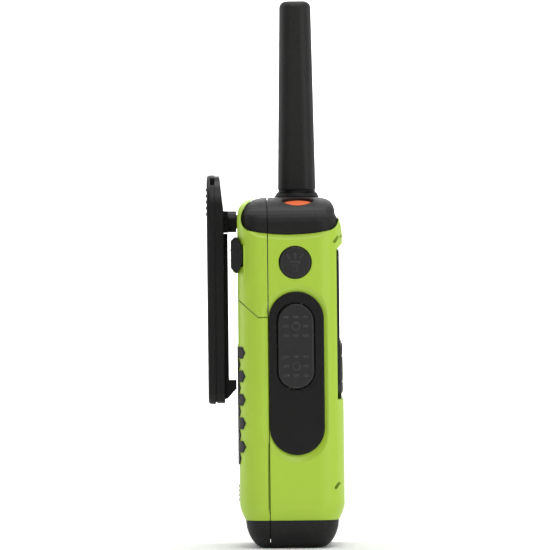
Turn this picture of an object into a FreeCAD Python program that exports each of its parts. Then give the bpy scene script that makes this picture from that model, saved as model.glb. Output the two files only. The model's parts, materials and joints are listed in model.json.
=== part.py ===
"""A hand-held two way radio with a fixed aerial and a swivelling spring clip.

Frame: +Z up through the aerial, -Y is the front with the display and the speaker, +Y is the back
with the clip, and -X is the side with the talk key. The origin is on the surface that the radio
stands on, in the middle of the casing. Lengths are in millimetres.
"""

import FreeCAD, Part

import math
import os

import Sketcher

Vector = FreeCAD.Vector
Rotation = FreeCAD.Rotation

# ---------------------------------------------------------------- driving dimensions

DIMENSIONS = [
    # casing
    ("body_width", 58.0),
    ("body_depth", 36.4),
    ("corner_round", 9.0),
    ("side_wall", 2.4),
    ("front_wall", 2.8),
    ("seam", 7.7),
    ("part_gap", 0.25),
    ("fit", 0.2),
    ("boot_height", 9.8),
    ("boot_inset", 2.05),
    ("boot_flare", 6.2),
    ("boot_floor", 2.5),
    ("boot_wall", 2.3),
    ("skirt_height", 5.5),
    ("lip_height", 3.2),
    ("lip_depth", 1.6),
    ("shoulder", 108.7),
    ("top_height", 121.5),
    ("cap_inset", 1.6),
    ("cap_wall", 2.4),
    ("cap_front_rim", 1.3),
    ("cap_rear_rim", 1.4),
    ("cap_rear_rise", 11.05),
    ("cap_rear_lean", 11.8),
    ("cap_rear_slope", 3.15),
    ("cap_crest", 7.3),
    ("cap_round", 4.0),
    ("cap_sag", 2.0),
    ("plug_depth", 3.2),
    ("plug_wall", 1.2),
    # battery door
    ("door_side_top", 80.3),
    ("door_back_top", 86.6),
    ("door_shadow", 0.45),
    ("door_bend", 11.2),
    ("grip_bottom", 31.3),
    ("grip_pitch", 4.07),
    ("grip_column", 5.3),
    ("grip_radius", 2.3),
    ("grip_depth", 0.8),
    ("grip_proud", 0.35),
    ("latch_width", 16.0),
    ("latch_height", 7.0),
    ("latch_bottom", 14.8),
    ("latch_recess", 1.3),
    ("latch_travel", 2.5),
    # front face
    ("face_bottom", 51.5),
    ("face_top", 103.3),
    ("face_sink", 2.1),
    ("face_width", 48.8),
    ("face_proud", 0.9),
    ("keypad_top", 72.0),
    ("keypad_rise", 0.45),
    ("window_width", 33.0),
    ("window_bottom", 78.5),
    ("window_top", 97.5),
    ("lens_margin", 2.2),
    ("key_proud", 0.55),
    ("key_gap", 0.3),
    ("key_travel", 0.6),
    ("key_lip", 0.8),
    ("dome_depth", 3.0),
    ("dome_height", 0.9),
    # speaker and microphone
    ("speaker_level", 30.5),
    ("speaker_radius", 16.0),
    ("slot_pitch", 3.7),
    ("slot_height", 1.5),
    ("mic_level", 49.2),
    # side keys
    ("panel_y", -2.0),
    ("panel_z", 60.7),
    ("panel_width", 19.1),
    ("panel_height", 56.6),
    ("panel_sink", 1.4),
    ("panel_drop", 0.7),
    ("panel_lip", 1.5),
    ("scoop", 2.8),
    ("talk_y", -1.8),
    ("talk_z", 70.1),
    ("talk_width", 12.6),
    ("talk_height", 29.5),
    ("talk_rise", 0.7),
    ("talk_thick", 2.1),
    ("talk_gap", 0.4),
    ("talk_axis_depth", 3.4),
    ("talk_throw", 9.5),
    ("axle_radius", 0.8),
    ("axle_play", 0.05),
    ("light_y", -1.8),
    ("light_z", 99.1),
    ("light_radius", 5.45),
    ("light_proud", 0.2),
    ("side_board_gap", 3.2),
    ("switch_height", 1.0),
    ("push_travel", 0.8),
    # top
    ("aerial_x", 11.0),
    ("aerial_y", -2.7),
    ("aerial_tip", 190.0),
    ("aerial_base_depth", 13.2),
    ("aerial_base_width", 13.9),
    ("aerial_tip_depth", 10.9),
    ("aerial_tip_width", 11.8),
    ("aerial_round", 4.6),
    ("aerial_bore", 3.4),
    ("tip_round", 2.4),
    ("collar_seat", 119.8),
    ("collar_top", 124.2),
    ("collar_radius", 7.55),
    ("stud_radius", 2.2),
    ("alert_x", -16.4),
    ("alert_y", -2.9),
    ("alert_face", 119.2),
    ("alert_radius", 5.2),
    ("alert_tilt", 12.5),
    # back
    ("clip_z", 113.1),
    ("post_radius", 3.75),
    ("post_shaft", 2.4),
    ("boss_radius", 4.6),
    ("boss_depth", 6.2),
    ("pin_radius", 0.9),
    ("knuckle_radius", 2.0),
    ("clip_gap", 4.8),
    ("clip_inner_thick", 3.0),
    ("clip_outer_thick", 2.8),
    ("clip_top", 129.5),
    ("clip_bottom", 49.7),
    ("clip_top_width", 27.0),
    ("clip_bottom_width", 22.6),
    ("clip_rib_width", 9.0),
    ("clip_rib", 1.4),
    ("clip_nose", 1.4),
    ("hook_gap", 0.8),
    ("cover_x", -20.2),
    ("cover_width", 11.2),
    ("cover_bottom", 95.4),
    ("cover_top", 107.9),
    ("cover_scoop", 11.9),
    ("cover_sink", 1.7),
    ("cover_proud", 2.3),
    ("cover_gap", 0.4),
    ("cover_pin_out", 0.55),
    ("cover_pin_z", 96.6),
    ("cover_pin_radius", 0.5),
    ("jack_x", -22.6),
    ("jack_z", 101.8),
    ("jack_radius", 1.75),
    ("jack_case", 2.6),
    ("jack_length", 14.0),
    ("usb_x", -17.3),
    ("lanyard_x", 16.0),
    ("lanyard_depth", 3.3),
    ("lanyard_z", 118.9),
    # inside
    ("board_y", -6.6),
    ("board_thick", 1.2),
    ("boss_x", 20.2),
    ("boss_z", 88.5),
    ("top_boss_z", 102.4),
    ("tub_left", -21.9),
    ("tub_right", 24.7),
    ("tub_bottom", 13.8),
    ("tub_top", 74.8),
    ("tub_front", -2.5),
    ("tub_rear", 7.0),
    ("tub_wall", 1.2),
    ("tub_screw_z", 17.8),
    ("cell_radius", 7.2),
    ("cell_pitch", 14.6),
    ("cell_bottom", 21.6),
    ("cell_length", 49.5),
    ("torch_x", 10.5),
    ("torch_y", -1.2),
    ("torch_radius", 6.0),
]


class Size:
    """A length together with the spreadsheet expression that it comes from."""

    def __init__(self, value, text):
        self.value = float(value)
        self.text = text

    def _with(self, other, sign, value):
        return Size(value, "(" + self.text + " " + sign + " " + text_of(other) + ")")

    def __add__(self, other):
        return self._with(other, "+", self.value + number(other))

    def __sub__(self, other):
        return self._with(other, "-", self.value - number(other))

    def __mul__(self, other):
        return self._with(other, "*", self.value * number(other))

    def __truediv__(self, other):
        return self._with(other, "/", self.value / number(other))

    def __radd__(self, other):
        return as_size(other) + self

    def __rsub__(self, other):
        return as_size(other) - self

    def __rmul__(self, other):
        return as_size(other) * self

    def __neg__(self):
        return Size(-self.value, "(-1 * " + self.text + ")")


def number(size):
    """The plain number of a size."""
    return size.value if isinstance(size, Size) else float(size)


def text_of(size):
    """The expression of a size."""
    return size.text if isinstance(size, Size) else "%.6f" % float(size)


def as_size(size):
    """A size, made from a plain number if need be."""
    return size if isinstance(size, Size) else Size(size, text_of(size))


class Sheet:
    """The spreadsheet of driving dimensions; sheet.body_width is that cell as a Size."""

    def __init__(self, document):
        self.page = document.addObject("Spreadsheet::Sheet", "Dims")
        for row, (name, value) in enumerate(DIMENSIONS, 1):
            self.page.set("A%d" % row, name)
            self.page.set("B%d" % row, "%g" % value)
            self.page.setAlias("B%d" % row, name)
        document.recompute()

    def __getattr__(self, name):
        return Size(self.page.get(name), "Dims." + name)


doc = FreeCAD.newDocument("two_way_radio")
d = Sheet(doc)
SUBPARTS = []


def keep(item, label):
    """Marks a document object as a sub-part of the radio, under its own label."""
    item.Label = label
    SUBPARTS.append(item)
    return item


def bind(item, path, size):
    """Ties a property of a document object to the spreadsheet."""
    item.setExpression(path, text_of(size))


# ---------------------------------------------------------------- sketches

TURNS = {
    "XY": Rotation(Vector(1, 0, 0), Vector(0, 1, 0), Vector(0, 0, 1)),
    "XZ": Rotation(Vector(1, 0, 0), Vector(0, 0, 1), Vector(0, -1, 0)),
    "YZ": Rotation(Vector(0, 1, 0), Vector(0, 0, 1), Vector(1, 0, 0)),
}


def constrain(sketch, *parts, size=None):
    """Adds one constraint, and ties its value to the spreadsheet if it has one."""
    if size is None:
        return sketch.addConstraint(Sketcher.Constraint(*parts))
    index = sketch.addConstraint(Sketcher.Constraint(*parts, number(size)))
    bind(sketch, "Constraints[%d]" % index, size)
    return index


def line(sketch, start, end):
    """Adds a line between two plain points."""
    return sketch.addGeometry(Part.LineSegment(Vector(*start, 0), Vector(*end, 0)))


def arc(sketch, centre, radius, first, last):
    """Adds an arc, with its angles in degrees."""
    circle = Part.Circle(Vector(*centre, 0), Vector(0, 0, 1), radius)
    turn = Part.ArcOfCircle(circle, math.radians(first), math.radians(last))
    return sketch.addGeometry(turn)


def round_hole(cx, cy, radius):
    """A circle."""

    def draw(sketch):
        circle = Part.Circle(Vector(number(cx), number(cy), 0), Vector(0, 0, 1), number(radius))
        index = sketch.addGeometry(circle)
        constrain(sketch, "Radius", index, size=radius)
        constrain(sketch, "DistanceX", index, 3, size=cx)
        constrain(sketch, "DistanceY", index, 3, size=cy)

    return draw


def rounded(cx, cy, width, height, radius):
    """A rectangle with four round corners."""

    def draw(sketch):
        left, right = cx - width / 2, cx + width / 2
        low, high = cy - height / 2, cy + height / 2
        x0, x1, y0, y1, r = (number(v) for v in (left, right, low, high, radius))
        sides = [
            line(sketch, (x0 + r, y0), (x1 - r, y0)),
            line(sketch, (x1, y0 + r), (x1, y1 - r)),
            line(sketch, (x1 - r, y1), (x0 + r, y1)),
            line(sketch, (x0, y1 - r), (x0, y0 + r)),
        ]
        corners = [
            arc(sketch, (x1 - r, y0 + r), r, 270, 360),
            arc(sketch, (x1 - r, y1 - r), r, 0, 90),
            arc(sketch, (x0 + r, y1 - r), r, 90, 180),
            arc(sketch, (x0 + r, y0 + r), r, 180, 270),
        ]
        for i in range(4):
            constrain(sketch, "Tangent", sides[i], 2, corners[i], 1)
            constrain(sketch, "Tangent", corners[i], 2, sides[(i + 1) % 4], 1)
        for i in (1, 2, 3):
            constrain(sketch, "Equal", corners[0], corners[i])
        constrain(sketch, "Horizontal", sides[0])
        constrain(sketch, "Vertical", sides[1])
        constrain(sketch, "Radius", corners[0], size=radius)
        constrain(sketch, "DistanceY", sides[0], 1, size=low)
        constrain(sketch, "DistanceX", sides[1], 1, size=right)
        constrain(sketch, "DistanceY", sides[2], 1, size=high)
        constrain(sketch, "DistanceX", sides[3], 1, size=left)

    return draw


def stadium(cx, cy, width, height):
    """An upright slot with half round ends."""

    def draw(sketch):
        left, right = cx - width / 2, cx + width / 2
        low, high = cy - height / 2 + width / 2, cy + height / 2 - width / 2
        x0, x1, y0, y1, middle = (number(v) for v in (left, right, low, high, cx))
        rise = line(sketch, (x1, y0), (x1, y1))
        fall = line(sketch, (x0, y1), (x0, y0))
        top = arc(sketch, (middle, y1), (x1 - x0) / 2, 0, 180)
        base = arc(sketch, (middle, y0), (x1 - x0) / 2, 180, 360)
        constrain(sketch, "Tangent", rise, 2, top, 1)
        constrain(sketch, "Tangent", top, 2, fall, 1)
        constrain(sketch, "Tangent", fall, 2, base, 1)
        constrain(sketch, "Tangent", base, 2, rise, 1)
        constrain(sketch, "Vertical", rise)
        constrain(sketch, "DistanceX", rise, 1, size=right)
        constrain(sketch, "DistanceX", fall, 1, size=left)
        constrain(sketch, "DistanceY", top, 3, size=high)
        constrain(sketch, "DistanceY", base, 3, size=low)

    return draw


def polygon(*points):
    """A closed outline of straight lines."""

    def draw(sketch):
        plain = [(number(x), number(y)) for x, y in points]
        count = len(points)
        for i in range(count):
            line(sketch, plain[i], plain[(i + 1) % count])
        for i in range(count):
            constrain(sketch, "Coincident", i, 2, (i + 1) % count, 1)
        for i, (x, y) in enumerate(points):
            constrain(sketch, "DistanceX", i, 1, size=x)
            constrain(sketch, "DistanceY", i, 1, size=y)

    return draw


# ---------------------------------------------------------------- solids


def recomputed(item):
    """Brings the document up to date and returns the item."""
    doc.recompute()
    return item


class Design:
    """A PartDesign body that grows by pads, lofts and fillets.

    A pad fills the space from low to high along the axis that its plane leaves out.
    """

    def __init__(self, label):
        self.body = doc.addObject("PartDesign::Body", label)
        self.label = label
        self.steps = 0
        self.planes = {f.Role[:2]: f for f in self.body.Origin.OriginFeatures if "Plane" in f.Role}

    def name(self, word):
        self.steps += 1
        return "%s_%s%d" % (self.label, word, self.steps)

    def sketch(self, plane, level, draw):
        sketch = self.body.newObject("Sketcher::SketchObject", self.name("sketch"))
        sketch.AttachmentSupport = (self.planes[plane], [""])
        sketch.MapMode = "FlatFace"
        bind(sketch, "AttachmentOffset.Base.z", -level if plane == "XZ" else level)
        draw(sketch)
        return sketch

    def pad(self, plane, low, high, draw, taper=None):
        feature = self.body.newObject("PartDesign::Pad", self.name("pad"))
        feature.Profile = self.sketch(plane, as_size(high if plane == "XZ" else low), draw)
        bind(feature, "Length", as_size(high) - low)
        if taper is not None:
            bind(feature, "TaperAngle", taper)
        return self

    def loft(self, sections, straight=False):
        """A skin through outlines on the XY plane, given as pairs of a level and an outline."""
        sketches = [self.sketch("XY", as_size(level), draw) for level, draw in sections]
        feature = self.body.newObject("PartDesign::AdditiveLoft", self.name("loft"))
        feature.Profile = sketches[0]
        feature.Sections = sketches[1:]
        feature.Ruled = straight
        return self

    def _dress(self, kind, value, size, choose):
        base = recomputed(self.body).Tip
        edges = base.Shape.Edges
        names = ["Edge%d" % (i + 1) for i, edge in enumerate(edges) if choose(edge)]
        feature = self.body.newObject("PartDesign::" + kind, self.name(kind.lower()))
        feature.Base = (base, names)
        bind(feature, value, size)
        return self

    def fillet(self, size, choose):
        return self._dress("Fillet", "Radius", size, choose)



def near(value, target, slack=0.02):
    return abs(value - number(target)) < slack


def on_level(axis, level):
    """Chooses the edges that lie in one plane across an axis."""

    def choose(edge):
        box = edge.BoundBox
        low, high = getattr(box, axis + "Min"), getattr(box, axis + "Max")
        return near(low, level) and near(high, level)

    return choose


def along(axis, where=lambda centre: True):
    """Chooses the straight edges that run along an axis."""

    def choose(edge):
        box = edge.BoundBox
        lengths = {"X": box.XLength, "Y": box.YLength, "Z": box.ZLength}
        run = lengths.pop(axis)
        return run > 0.1 and max(lengths.values()) < 0.01 and where(edge.BoundBox.Center)

    return choose


def place(item, x=0, y=0, z=0):
    """Puts a primitive at a point that follows the spreadsheet."""
    for axis, size in zip("xyz", (x, y, z)):
        bind(item, "Placement.Base." + axis, size)
    return item


def block(label, x0, x1, y0, y1, z0, z1):
    """A box between two corners."""
    item = doc.addObject("Part::Box", label)
    bind(item, "Length", as_size(x1) - x0)
    bind(item, "Width", as_size(y1) - y0)
    bind(item, "Height", as_size(z1) - z0)
    return place(item, x0, y0, z0)


def rod(label, radius, axis, start, end, a=0, b=0):
    """A cylinder along an axis from start to end; a and b are its place on the other two axes."""
    item = doc.addObject("Part::Cylinder", label)
    turn = {"X": Rotation(Vector(0, 1, 0), 90), "Y": Rotation(Vector(1, 0, 0), -90), "Z": Rotation()}
    item.Placement = FreeCAD.Placement(Vector(), turn[axis])
    bind(item, "Radius", radius)
    bind(item, "Height", as_size(end) - start)
    spot = {"X": (start, a, b), "Y": (a, start, b), "Z": (a, b, start)}[axis]
    return place(item, *spot)


def prism(label, plane, low, high, draw):
    """A sketch pulled straight along the axis that its plane leaves out."""
    sketch = doc.addObject("Sketcher::SketchObject", label + "_outline")
    sketch.Placement = FreeCAD.Placement(Vector(), TURNS[plane])
    across = {"XY": "z", "XZ": "y", "YZ": "x"}[plane]
    bind(sketch, "Placement.Base." + across, as_size(low))
    draw(sketch)
    item = doc.addObject("Part::Extrusion", label)
    item.Base = sketch
    item.DirMode = "Custom"
    item.Dir = {"XY": Vector(0, 0, 1), "XZ": Vector(0, 1, 0), "YZ": Vector(1, 0, 0)}[plane]
    item.Solid = True
    bind(item, "LengthFwd", as_size(high) - low)
    return item


def fuse(label, *items):
    """The items joined into one."""
    item = doc.addObject("Part::MultiFuse", label)
    item.Shapes = list(items)
    return item


def cut(label, base, *tools):
    """The base without the tools."""
    item = doc.addObject("Part::Cut", label)
    item.Base = base
    item.Tool = tools[0] if len(tools) == 1 else fuse(label + "_tools", *tools)
    return item


def common(label, *items):
    """What the items share."""
    item = doc.addObject("Part::MultiCommon", label)
    item.Shapes = list(items)
    return item


def group(label, items):
    """Several separate solids as one object."""
    item = doc.addObject("Part::Compound", label)
    item.Links = list(items)
    return item


def mirrored(label, source):
    """The source seen in the middle plane of the casing, left for right."""
    item = doc.addObject("Part::Mirroring", label)
    item.Source = source
    item.Base = Vector(0, 0, 0)
    item.Normal = Vector(1, 0, 0)
    return item


def lean(run, rise):
    """The draft angle of a wall that steps sideways by run over a height of rise."""
    angle = math.degrees(math.atan(number(run) / number(rise)))
    return Size(angle, "atan(" + text_of(run) + " / " + text_of(rise) + ")")


# ---------------------------------------------------------------- shared forms of the casing

FAR = 80
ZERO = as_size(0)
half_width = d.body_width / 2
half_depth = d.body_depth / 2
inner_half = half_width - d.side_wall
inner_rear = half_depth - d.side_wall
inner_front = half_depth - d.front_wall
inner_round = d.corner_round - d.side_wall
seam_front = d.seam - d.part_gap / 2
seam_rear = d.seam + d.part_gap / 2
cap_front = half_depth - d.cap_front_rim
cap_rear = half_depth - d.cap_rear_rim
face_step = half_depth - d.face_sink
dome_level = face_step - d.dome_depth
boss_inner = half_depth - d.boss_depth
clip_near = half_depth + d.clip_gap
clip_split = clip_near + d.clip_inner_thick
clip_far = clip_split + d.clip_outer_thick
hook_tip = half_depth + d.hook_gap
cover_seat = half_depth - d.cover_sink
cover_face = half_depth + d.cover_proud
cover_pin_y = half_depth + d.cover_pin_out
lanyard_y = half_depth - d.lanyard_depth
panel_floor = half_width - d.panel_sink
panel_face = half_width - d.panel_drop
talk_face = panel_face + d.talk_rise
talk_axis = half_width - d.talk_axis_depth
light_face = half_width + d.light_proud
side_board_face = inner_half - d.side_board_gap
cap_joint = 0.15
room_top = d.shoulder + d.cap_sag + d.cap_round * 0.2
plug_top = d.shoulder + 0.5
CROWN_SIDE = 3.0
CROWN_FRONT = 6.0
CROWN_REAR = 5.3
BROW_LEAN = 0.1
BROW_TOP = 0.55
CROWN_STEPS = (0.0, 0.2, 0.35, 0.46, 0.55, 0.65, 0.74, 0.81, 0.87, 0.915, 0.95, 0.975, 0.99, 0.998)
SKIRT_STEPS = (0.0, 0.15, 0.3, 0.45, 0.6, 0.8, 1.0)
SKIRT_POWER = 1.5
FLARE_STEPS = (0.0, 0.04, 0.1, 0.18, 0.28, 0.4, 0.55, 0.75, 1.0)
FLARE_POWER = 1.8


def crown_shares(rise):
    """How far the crown reaches sideways, to the front and to the back at a share of its height."""
    side = (1 - rise**CROWN_SIDE) ** (1 / CROWN_SIDE)
    brow = 1 - BROW_LEAN * min(1.0, rise / BROW_TOP) ** 2
    front = brow * (1 - rise**CROWN_FRONT) ** (1 / CROWN_FRONT)
    rear = (1 - rise**CROWN_REAR) ** (1 / CROWN_REAR)
    return side, front, rear


def crown(label, half_x, half_y, height, corner):
    """A dome from the shoulder up: its brow leans back, and its edges turn over more and more."""
    sections = []
    for rise in CROWN_STEPS:
        side, front, rear = crown_shares(rise)
        middle = half_y * ((rear - front) / 2)
        outline = rounded(ZERO, middle, half_x * (2 * side), half_y * (front + rear), corner * front)
        sections.append((d.shoulder + height * rise, outline))
    return Design(label).loft(sections, straight=True).body


def outer_form(label):
    """The casing's whole outside: a rounded box with a drawn-in lower edge and a domed top."""
    plan = rounded(ZERO, ZERO, d.body_width, d.body_depth, d.corner_round)
    straight = prism(label + "_straight", "XY", d.boot_height + d.skirt_height, d.shoulder, plan)
    height = d.top_height - d.shoulder
    top = crown(label + "_dome", half_width, half_depth, height, d.corner_round)
    sections = []
    for rise in SKIRT_STEPS:
        inset = d.boot_inset * (2 * (1 - rise) ** SKIRT_POWER)
        width = d.body_width - inset
        depth = d.body_depth - inset
        outline = rounded(ZERO, ZERO, width, depth, d.corner_round - inset / 2)
        sections.append((d.boot_height + d.skirt_height * rise, outline))
    skirt = Design(label + "_skirt").loft(sections, straight=True).body
    return fuse(label, skirt, straight, top)


def inner_outline(gap=0):
    """The outline of the space inside the walls, or one that stays clear of them by a gap."""
    width = inner_half * 2 - 2 * as_size(gap)
    depth = inner_rear + inner_front - 2 * as_size(gap)
    return rounded(ZERO, (inner_rear - inner_front) / 2, width, depth, inner_round - as_size(gap))


def room_form(label):
    """The space inside the walls, with a lip round its lower end."""
    lip_top = d.boot_height + d.lip_height
    room = prism(label + "_room", "XY", lip_top, room_top, inner_outline())
    mouth = prism(label + "_mouth", "XY", -FAR, lip_top + 1, inner_outline(d.lip_depth))
    return fuse(label, room, mouth)


def bowl_form(label, gap=0):
    """The space that the dark cap takes out of the casing's top, right across its width."""
    front = -cap_front + gap
    rear = cap_rear - gap
    base = d.shoulder + gap
    above = d.top_height + 6
    back = rear - d.cap_rear_lean
    bend = d.shoulder + d.cap_rear_rise - 1.5 * as_size(gap)
    points = [
        (rear, base + d.cap_sag),
        (rear, bend),
        (back, bend + d.cap_rear_slope),
        (back, above),
        (front, above),
        (front, base + d.cap_sag),
    ]
    form = Design(label).pad("YZ", -FAR, FAR, sagging(points, ((front + rear) / 2, base)))
    ends = (number(front), number(rear))
    low = number(base + d.cap_sag)
    form.fillet(
        d.cap_round,
        along("X", lambda centre: near(centre.z, low) and min(abs(centre.y - y) for y in ends) < 0.02),
    )
    high = number(bend)
    form.fillet(d.cap_crest - 3 * as_size(gap), along("X", lambda centre: near(centre.z, high)))
    return form.body


def sagging(points, lowest):
    """A closed outline of straight lines whose last side, back to the start, is an arc."""

    def draw(sketch):
        plain = [(number(x), number(y)) for x, y in points]
        for start, end in zip(plain, plain[1:]):
            line(sketch, start, end)
        through = [
            Vector(*plain[-1], 0), Vector(number(lowest[0]), number(lowest[1]), 0), Vector(*plain[0], 0)
        ]
        bottom = sketch.addGeometry(Part.Arc(*through))
        last = len(points) - 2
        for i in range(last):
            constrain(sketch, "Coincident", i, 2, i + 1, 1)
        constrain(sketch, "Coincident", last, 2, bottom, 1)
        constrain(sketch, "Coincident", bottom, 2, 0, 1)
        for i, (x, y) in enumerate(points[:-1]):
            constrain(sketch, "DistanceX", i, 1, size=x)
            constrain(sketch, "DistanceY", i, 1, size=y)
        constrain(sketch, "DistanceX", last, 2, size=points[-1][0])
        constrain(sketch, "DistanceY", last, 2, size=points[-1][1])
        reach = (points[0][0] - points[-1][0]) / 2
        drop = points[0][1] - lowest[1]
        constrain(sketch, "Radius", bottom, size=(reach * reach + drop * drop) / (2 * drop))

    return draw


def rim_bevel(label):
    """A cut that leaves a bevel on the casing's right side along the edge of the cap."""
    front, rear = -cap_front, cap_rear
    above = d.top_height + 8
    points = [
        (rear, d.shoulder + d.cap_sag),
        (rear, above),
        (front, above),
        (front, d.shoulder + d.cap_sag),
    ]
    start = half_width - d.cap_inset - 0.2
    outline = sagging(points, ((front + rear) / 2, d.shoulder))
    form = Design(label).pad("YZ", start, start + 3, outline, taper=as_size(45))
    return form.body


def scoop_form(label):
    """The bevelled hollow round the talk panel, widest at the casing's surface."""
    depth = half_width - panel_floor + 0.3
    width = d.panel_width + 2 * d.fit + 2 * d.scoop
    height = d.panel_height + 2 * d.fit + 2 * d.scoop
    outline = stadium(d.panel_y, d.panel_z, width, height)
    form = Design(label)
    form.pad("YZ", -panel_floor - depth, -panel_floor, outline, taper=-lean(d.scoop, depth))
    return form.body


def door_zone(label, gap):
    """The part of the back that the battery door covers, seen from the side."""
    front = seam_rear - 1
    return prism(
        label,
        "YZ",
        -FAR,
        FAR,
        polygon(
            (front, as_size(-5)),
            (half_depth + 5, as_size(-5)),
            (half_depth + 5, d.door_back_top - gap),
            (half_depth, d.door_back_top - gap),
            (d.door_bend, d.door_side_top - gap),
            (front, d.door_side_top - gap),
        ),
    )


def dimples():
    """Slanted notches on the casing's front corners, over the display and beside the speaker."""
    notches = []
    for side in (-1, 1):
        for i, (y, level) in enumerate(((-15.6, 105.6), (-17.9, 107.2), (-15.2, 20.4))):
            item = doc.addObject("Part::Box", "dimple%d%d" % (side + 1, i))
            item.Placement = FreeCAD.Placement(Vector(), Rotation(Vector(1, 0, 0), 35))
            for name, size in (("Length", 12), ("Width", 0.9), ("Height", 2.6)):
                bind(item, name, as_size(size))
            outwards = (half_width - 4.5) * side + (-12 if side < 0 else 0)
            notches.append(place(item, outwards + i % 2 * -7 * side, as_size(y), as_size(level)))
    return notches


front_space = block("front_space", -FAR, FAR, -FAR, seam_front, -FAR, 3 * FAR)
rear_space = block("rear_space", -FAR, FAR, seam_rear, FAR, -FAR, 3 * FAR)
bevel = rim_bevel("rim_bevel")
cover_left = d.cover_x - d.cover_width / 2
cover_right = d.cover_x + d.cover_width / 2
port_floor = cover_seat - d.cover_gap
jack_back = port_floor - d.jack_length
scoop_y = port_floor + d.cover_scoop
scoop_z = (d.cover_bottom + d.cover_top) / 2
casing = cut(
    "casing",
    outer_form("casing_form"),
    bowl_form("bowl"),
    bevel,
    mirrored("rim_bevel_left", bevel),
    scoop_form("scoop_form"),
    room_form("casing_room"),
    prism(
        "face_cut",
        "YZ",
        -FAR,
        FAR,
        polygon(
            (as_size(-FAR), d.face_bottom),
            (-face_step, d.face_bottom),
            (-face_step, d.face_top),
            (as_size(-FAR), d.face_top + FAR - face_step),
        ),
    ),
    rod("port_scoop", d.cover_scoop, "X", cover_left - 6, cover_right + 0.3, scoop_y, scoop_z),
    block("port_floor", cover_left, cover_right - 1, port_floor, FAR, d.jack_z - 4.1, d.jack_z + 3.6),
    *dimples(),
)

# ---------------------------------------------------------------- front half

KEYS = {
    "up_key": (0.0, 68.4, 11.0, 4.4),
    "down_key": (0.0, 61.8, 11.0, 4.4),
    "power_key": (0.0, 55.2, 11.0, 4.4),
    "menu_key": (-14.0, 61.8, 8.4, 9.0),
    "call_key": (14.0, 61.8, 8.4, 9.0),
}
KEY_CORNER = 1.6
SCREW_SPOTS = ((-1, "boss_z"), (1, "boss_z"), (1, "top_boss_z"))
TUB_SCREWS_X = (d.tub_left + d.tub_wall + 2.0, d.tub_right - d.tub_wall - 2.0)
screw_radius = as_size(1.0)


def key_hole(name, low, high):
    """The opening that one front key slides in."""
    x, z, width, height = KEYS[name]
    gap = d.key_gap * 2
    outline = rounded(
        as_size(x), as_size(z), width + gap, height + gap, as_size(KEY_CORNER) + d.key_gap
    )
    return prism(name + "_hole_%d" % abs(number(low)), "XZ", low, high, outline)


def speaker_slots(label):
    """Slots across the speaker, as long as the circle allows."""
    slots = []
    reach = number(d.speaker_radius) - 1.5
    rows = int(reach // number(d.slot_pitch))
    for row in range(-rows, rows + 1):
        offset = d.slot_pitch * row
        half = math.sqrt(reach**2 - number(offset) ** 2)
        level = d.speaker_level + offset
        outline = rounded(ZERO, level, as_size(2 * half), d.slot_height, d.slot_height * 0.45)
        name = "%s_%d" % (label, row + rows)
        slots.append(prism(name, "XZ", -half_depth - 1, -inner_front + 0.5, outline))
    return slots


def front_housing():
    """The front shell, with its windows, slots and screw bosses."""
    shell = common("front_shell", casing, front_space)
    bosses = []
    for i, (side, level) in enumerate(SCREW_SPOTS):
        spot = d.boss_x * side
        bosses.append(
            rod(
                "front_boss%d" % i,
                as_size(2.1),
                "Y",
                -inner_front - 0.3,
                seam_front,
                spot,
                getattr(d, level),
            )
        )
    for i, x in enumerate(TUB_SCREWS_X):
        bosses.append(
            rod("tub_boss%d" % i, as_size(1.9), "Y", -inner_front - 0.3, d.tub_front, x, d.tub_screw_z)
        )
    holes = []
    for i, (side, level) in enumerate(SCREW_SPOTS):
        spot = d.boss_x * side
        holes.append(rod("pilot%d" % i, screw_radius, "Y", -5, seam_front + 1, spot, getattr(d, level)))
    for i, x in enumerate(TUB_SCREWS_X):
        holes.append(rod("tub_pilot%d" % i, screw_radius, "Y", -10, d.tub_front + 1, x, d.tub_screw_z))
    holes.append(
        block(
            "display_opening",
            -d.window_width / 2,
            d.window_width / 2,
            -FAR,
            -inner_front + 1,
            d.window_bottom,
            d.window_top,
        )
    )
    holes.extend(key_hole(name, -half_depth - 1, -inner_front + 0.5) for name in KEYS)
    holes.extend(speaker_slots("speaker_slot"))
    holes.append(
        rod("mic_hole", as_size(0.8), "Y", -half_depth - 1, -inner_front + 0.5, 0, d.mic_level)
    )
    lip = 2 * d.panel_lip
    opening = stadium(d.panel_y, d.panel_z, d.panel_width - lip, d.panel_height - lip)
    holes.append(prism("talk_opening", "YZ", -half_width, -inner_half + 0.5, opening))
    holes.append(
        rod(
            "light_opening",
            d.light_radius + 0.3,
            "X",
            -half_width - 1,
            -inner_half + 1,
            d.light_y,
            d.light_z,
        )
    )
    keep(cut("front_housing_solid", fuse("front_with_bosses", shell, *bosses), *holes), "front_housing")


def face_plate():
    """The dark plate round the display, thicker round the keys."""
    width = d.face_width
    height = d.face_top - d.face_bottom - 2 * d.fit
    middle = (d.face_top + d.face_bottom) / 2
    face = face_step + d.face_proud
    form = Design("face_plate_form")
    form.pad("XZ", -face, -face_step, rounded(ZERO, middle, width, height, as_size(5)))
    low = d.face_bottom + d.fit
    keypad = rounded(ZERO, (low + d.keypad_top) / 2, width, d.keypad_top - low, as_size(5))
    form.pad("XZ", -face - d.keypad_rise, -face + 0.05, keypad)
    edge = number(face + d.keypad_rise)
    form.fillet(as_size(0.35), on_level("Y", -edge))
    lens = lens_outline(0.1)
    holes = [prism("lens_seat", "XZ", -face - 1, -face_step + 1, lens)]
    holes.extend(key_hole(name, -face - 2, -face_step + 1) for name in KEYS)
    holes.append(rod("mic_port", as_size(0.8), "Y", -FAR, 0, 0, d.mic_level))
    keep(cut("face_plate_solid", form.body, *holes), "face_plate")


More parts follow.
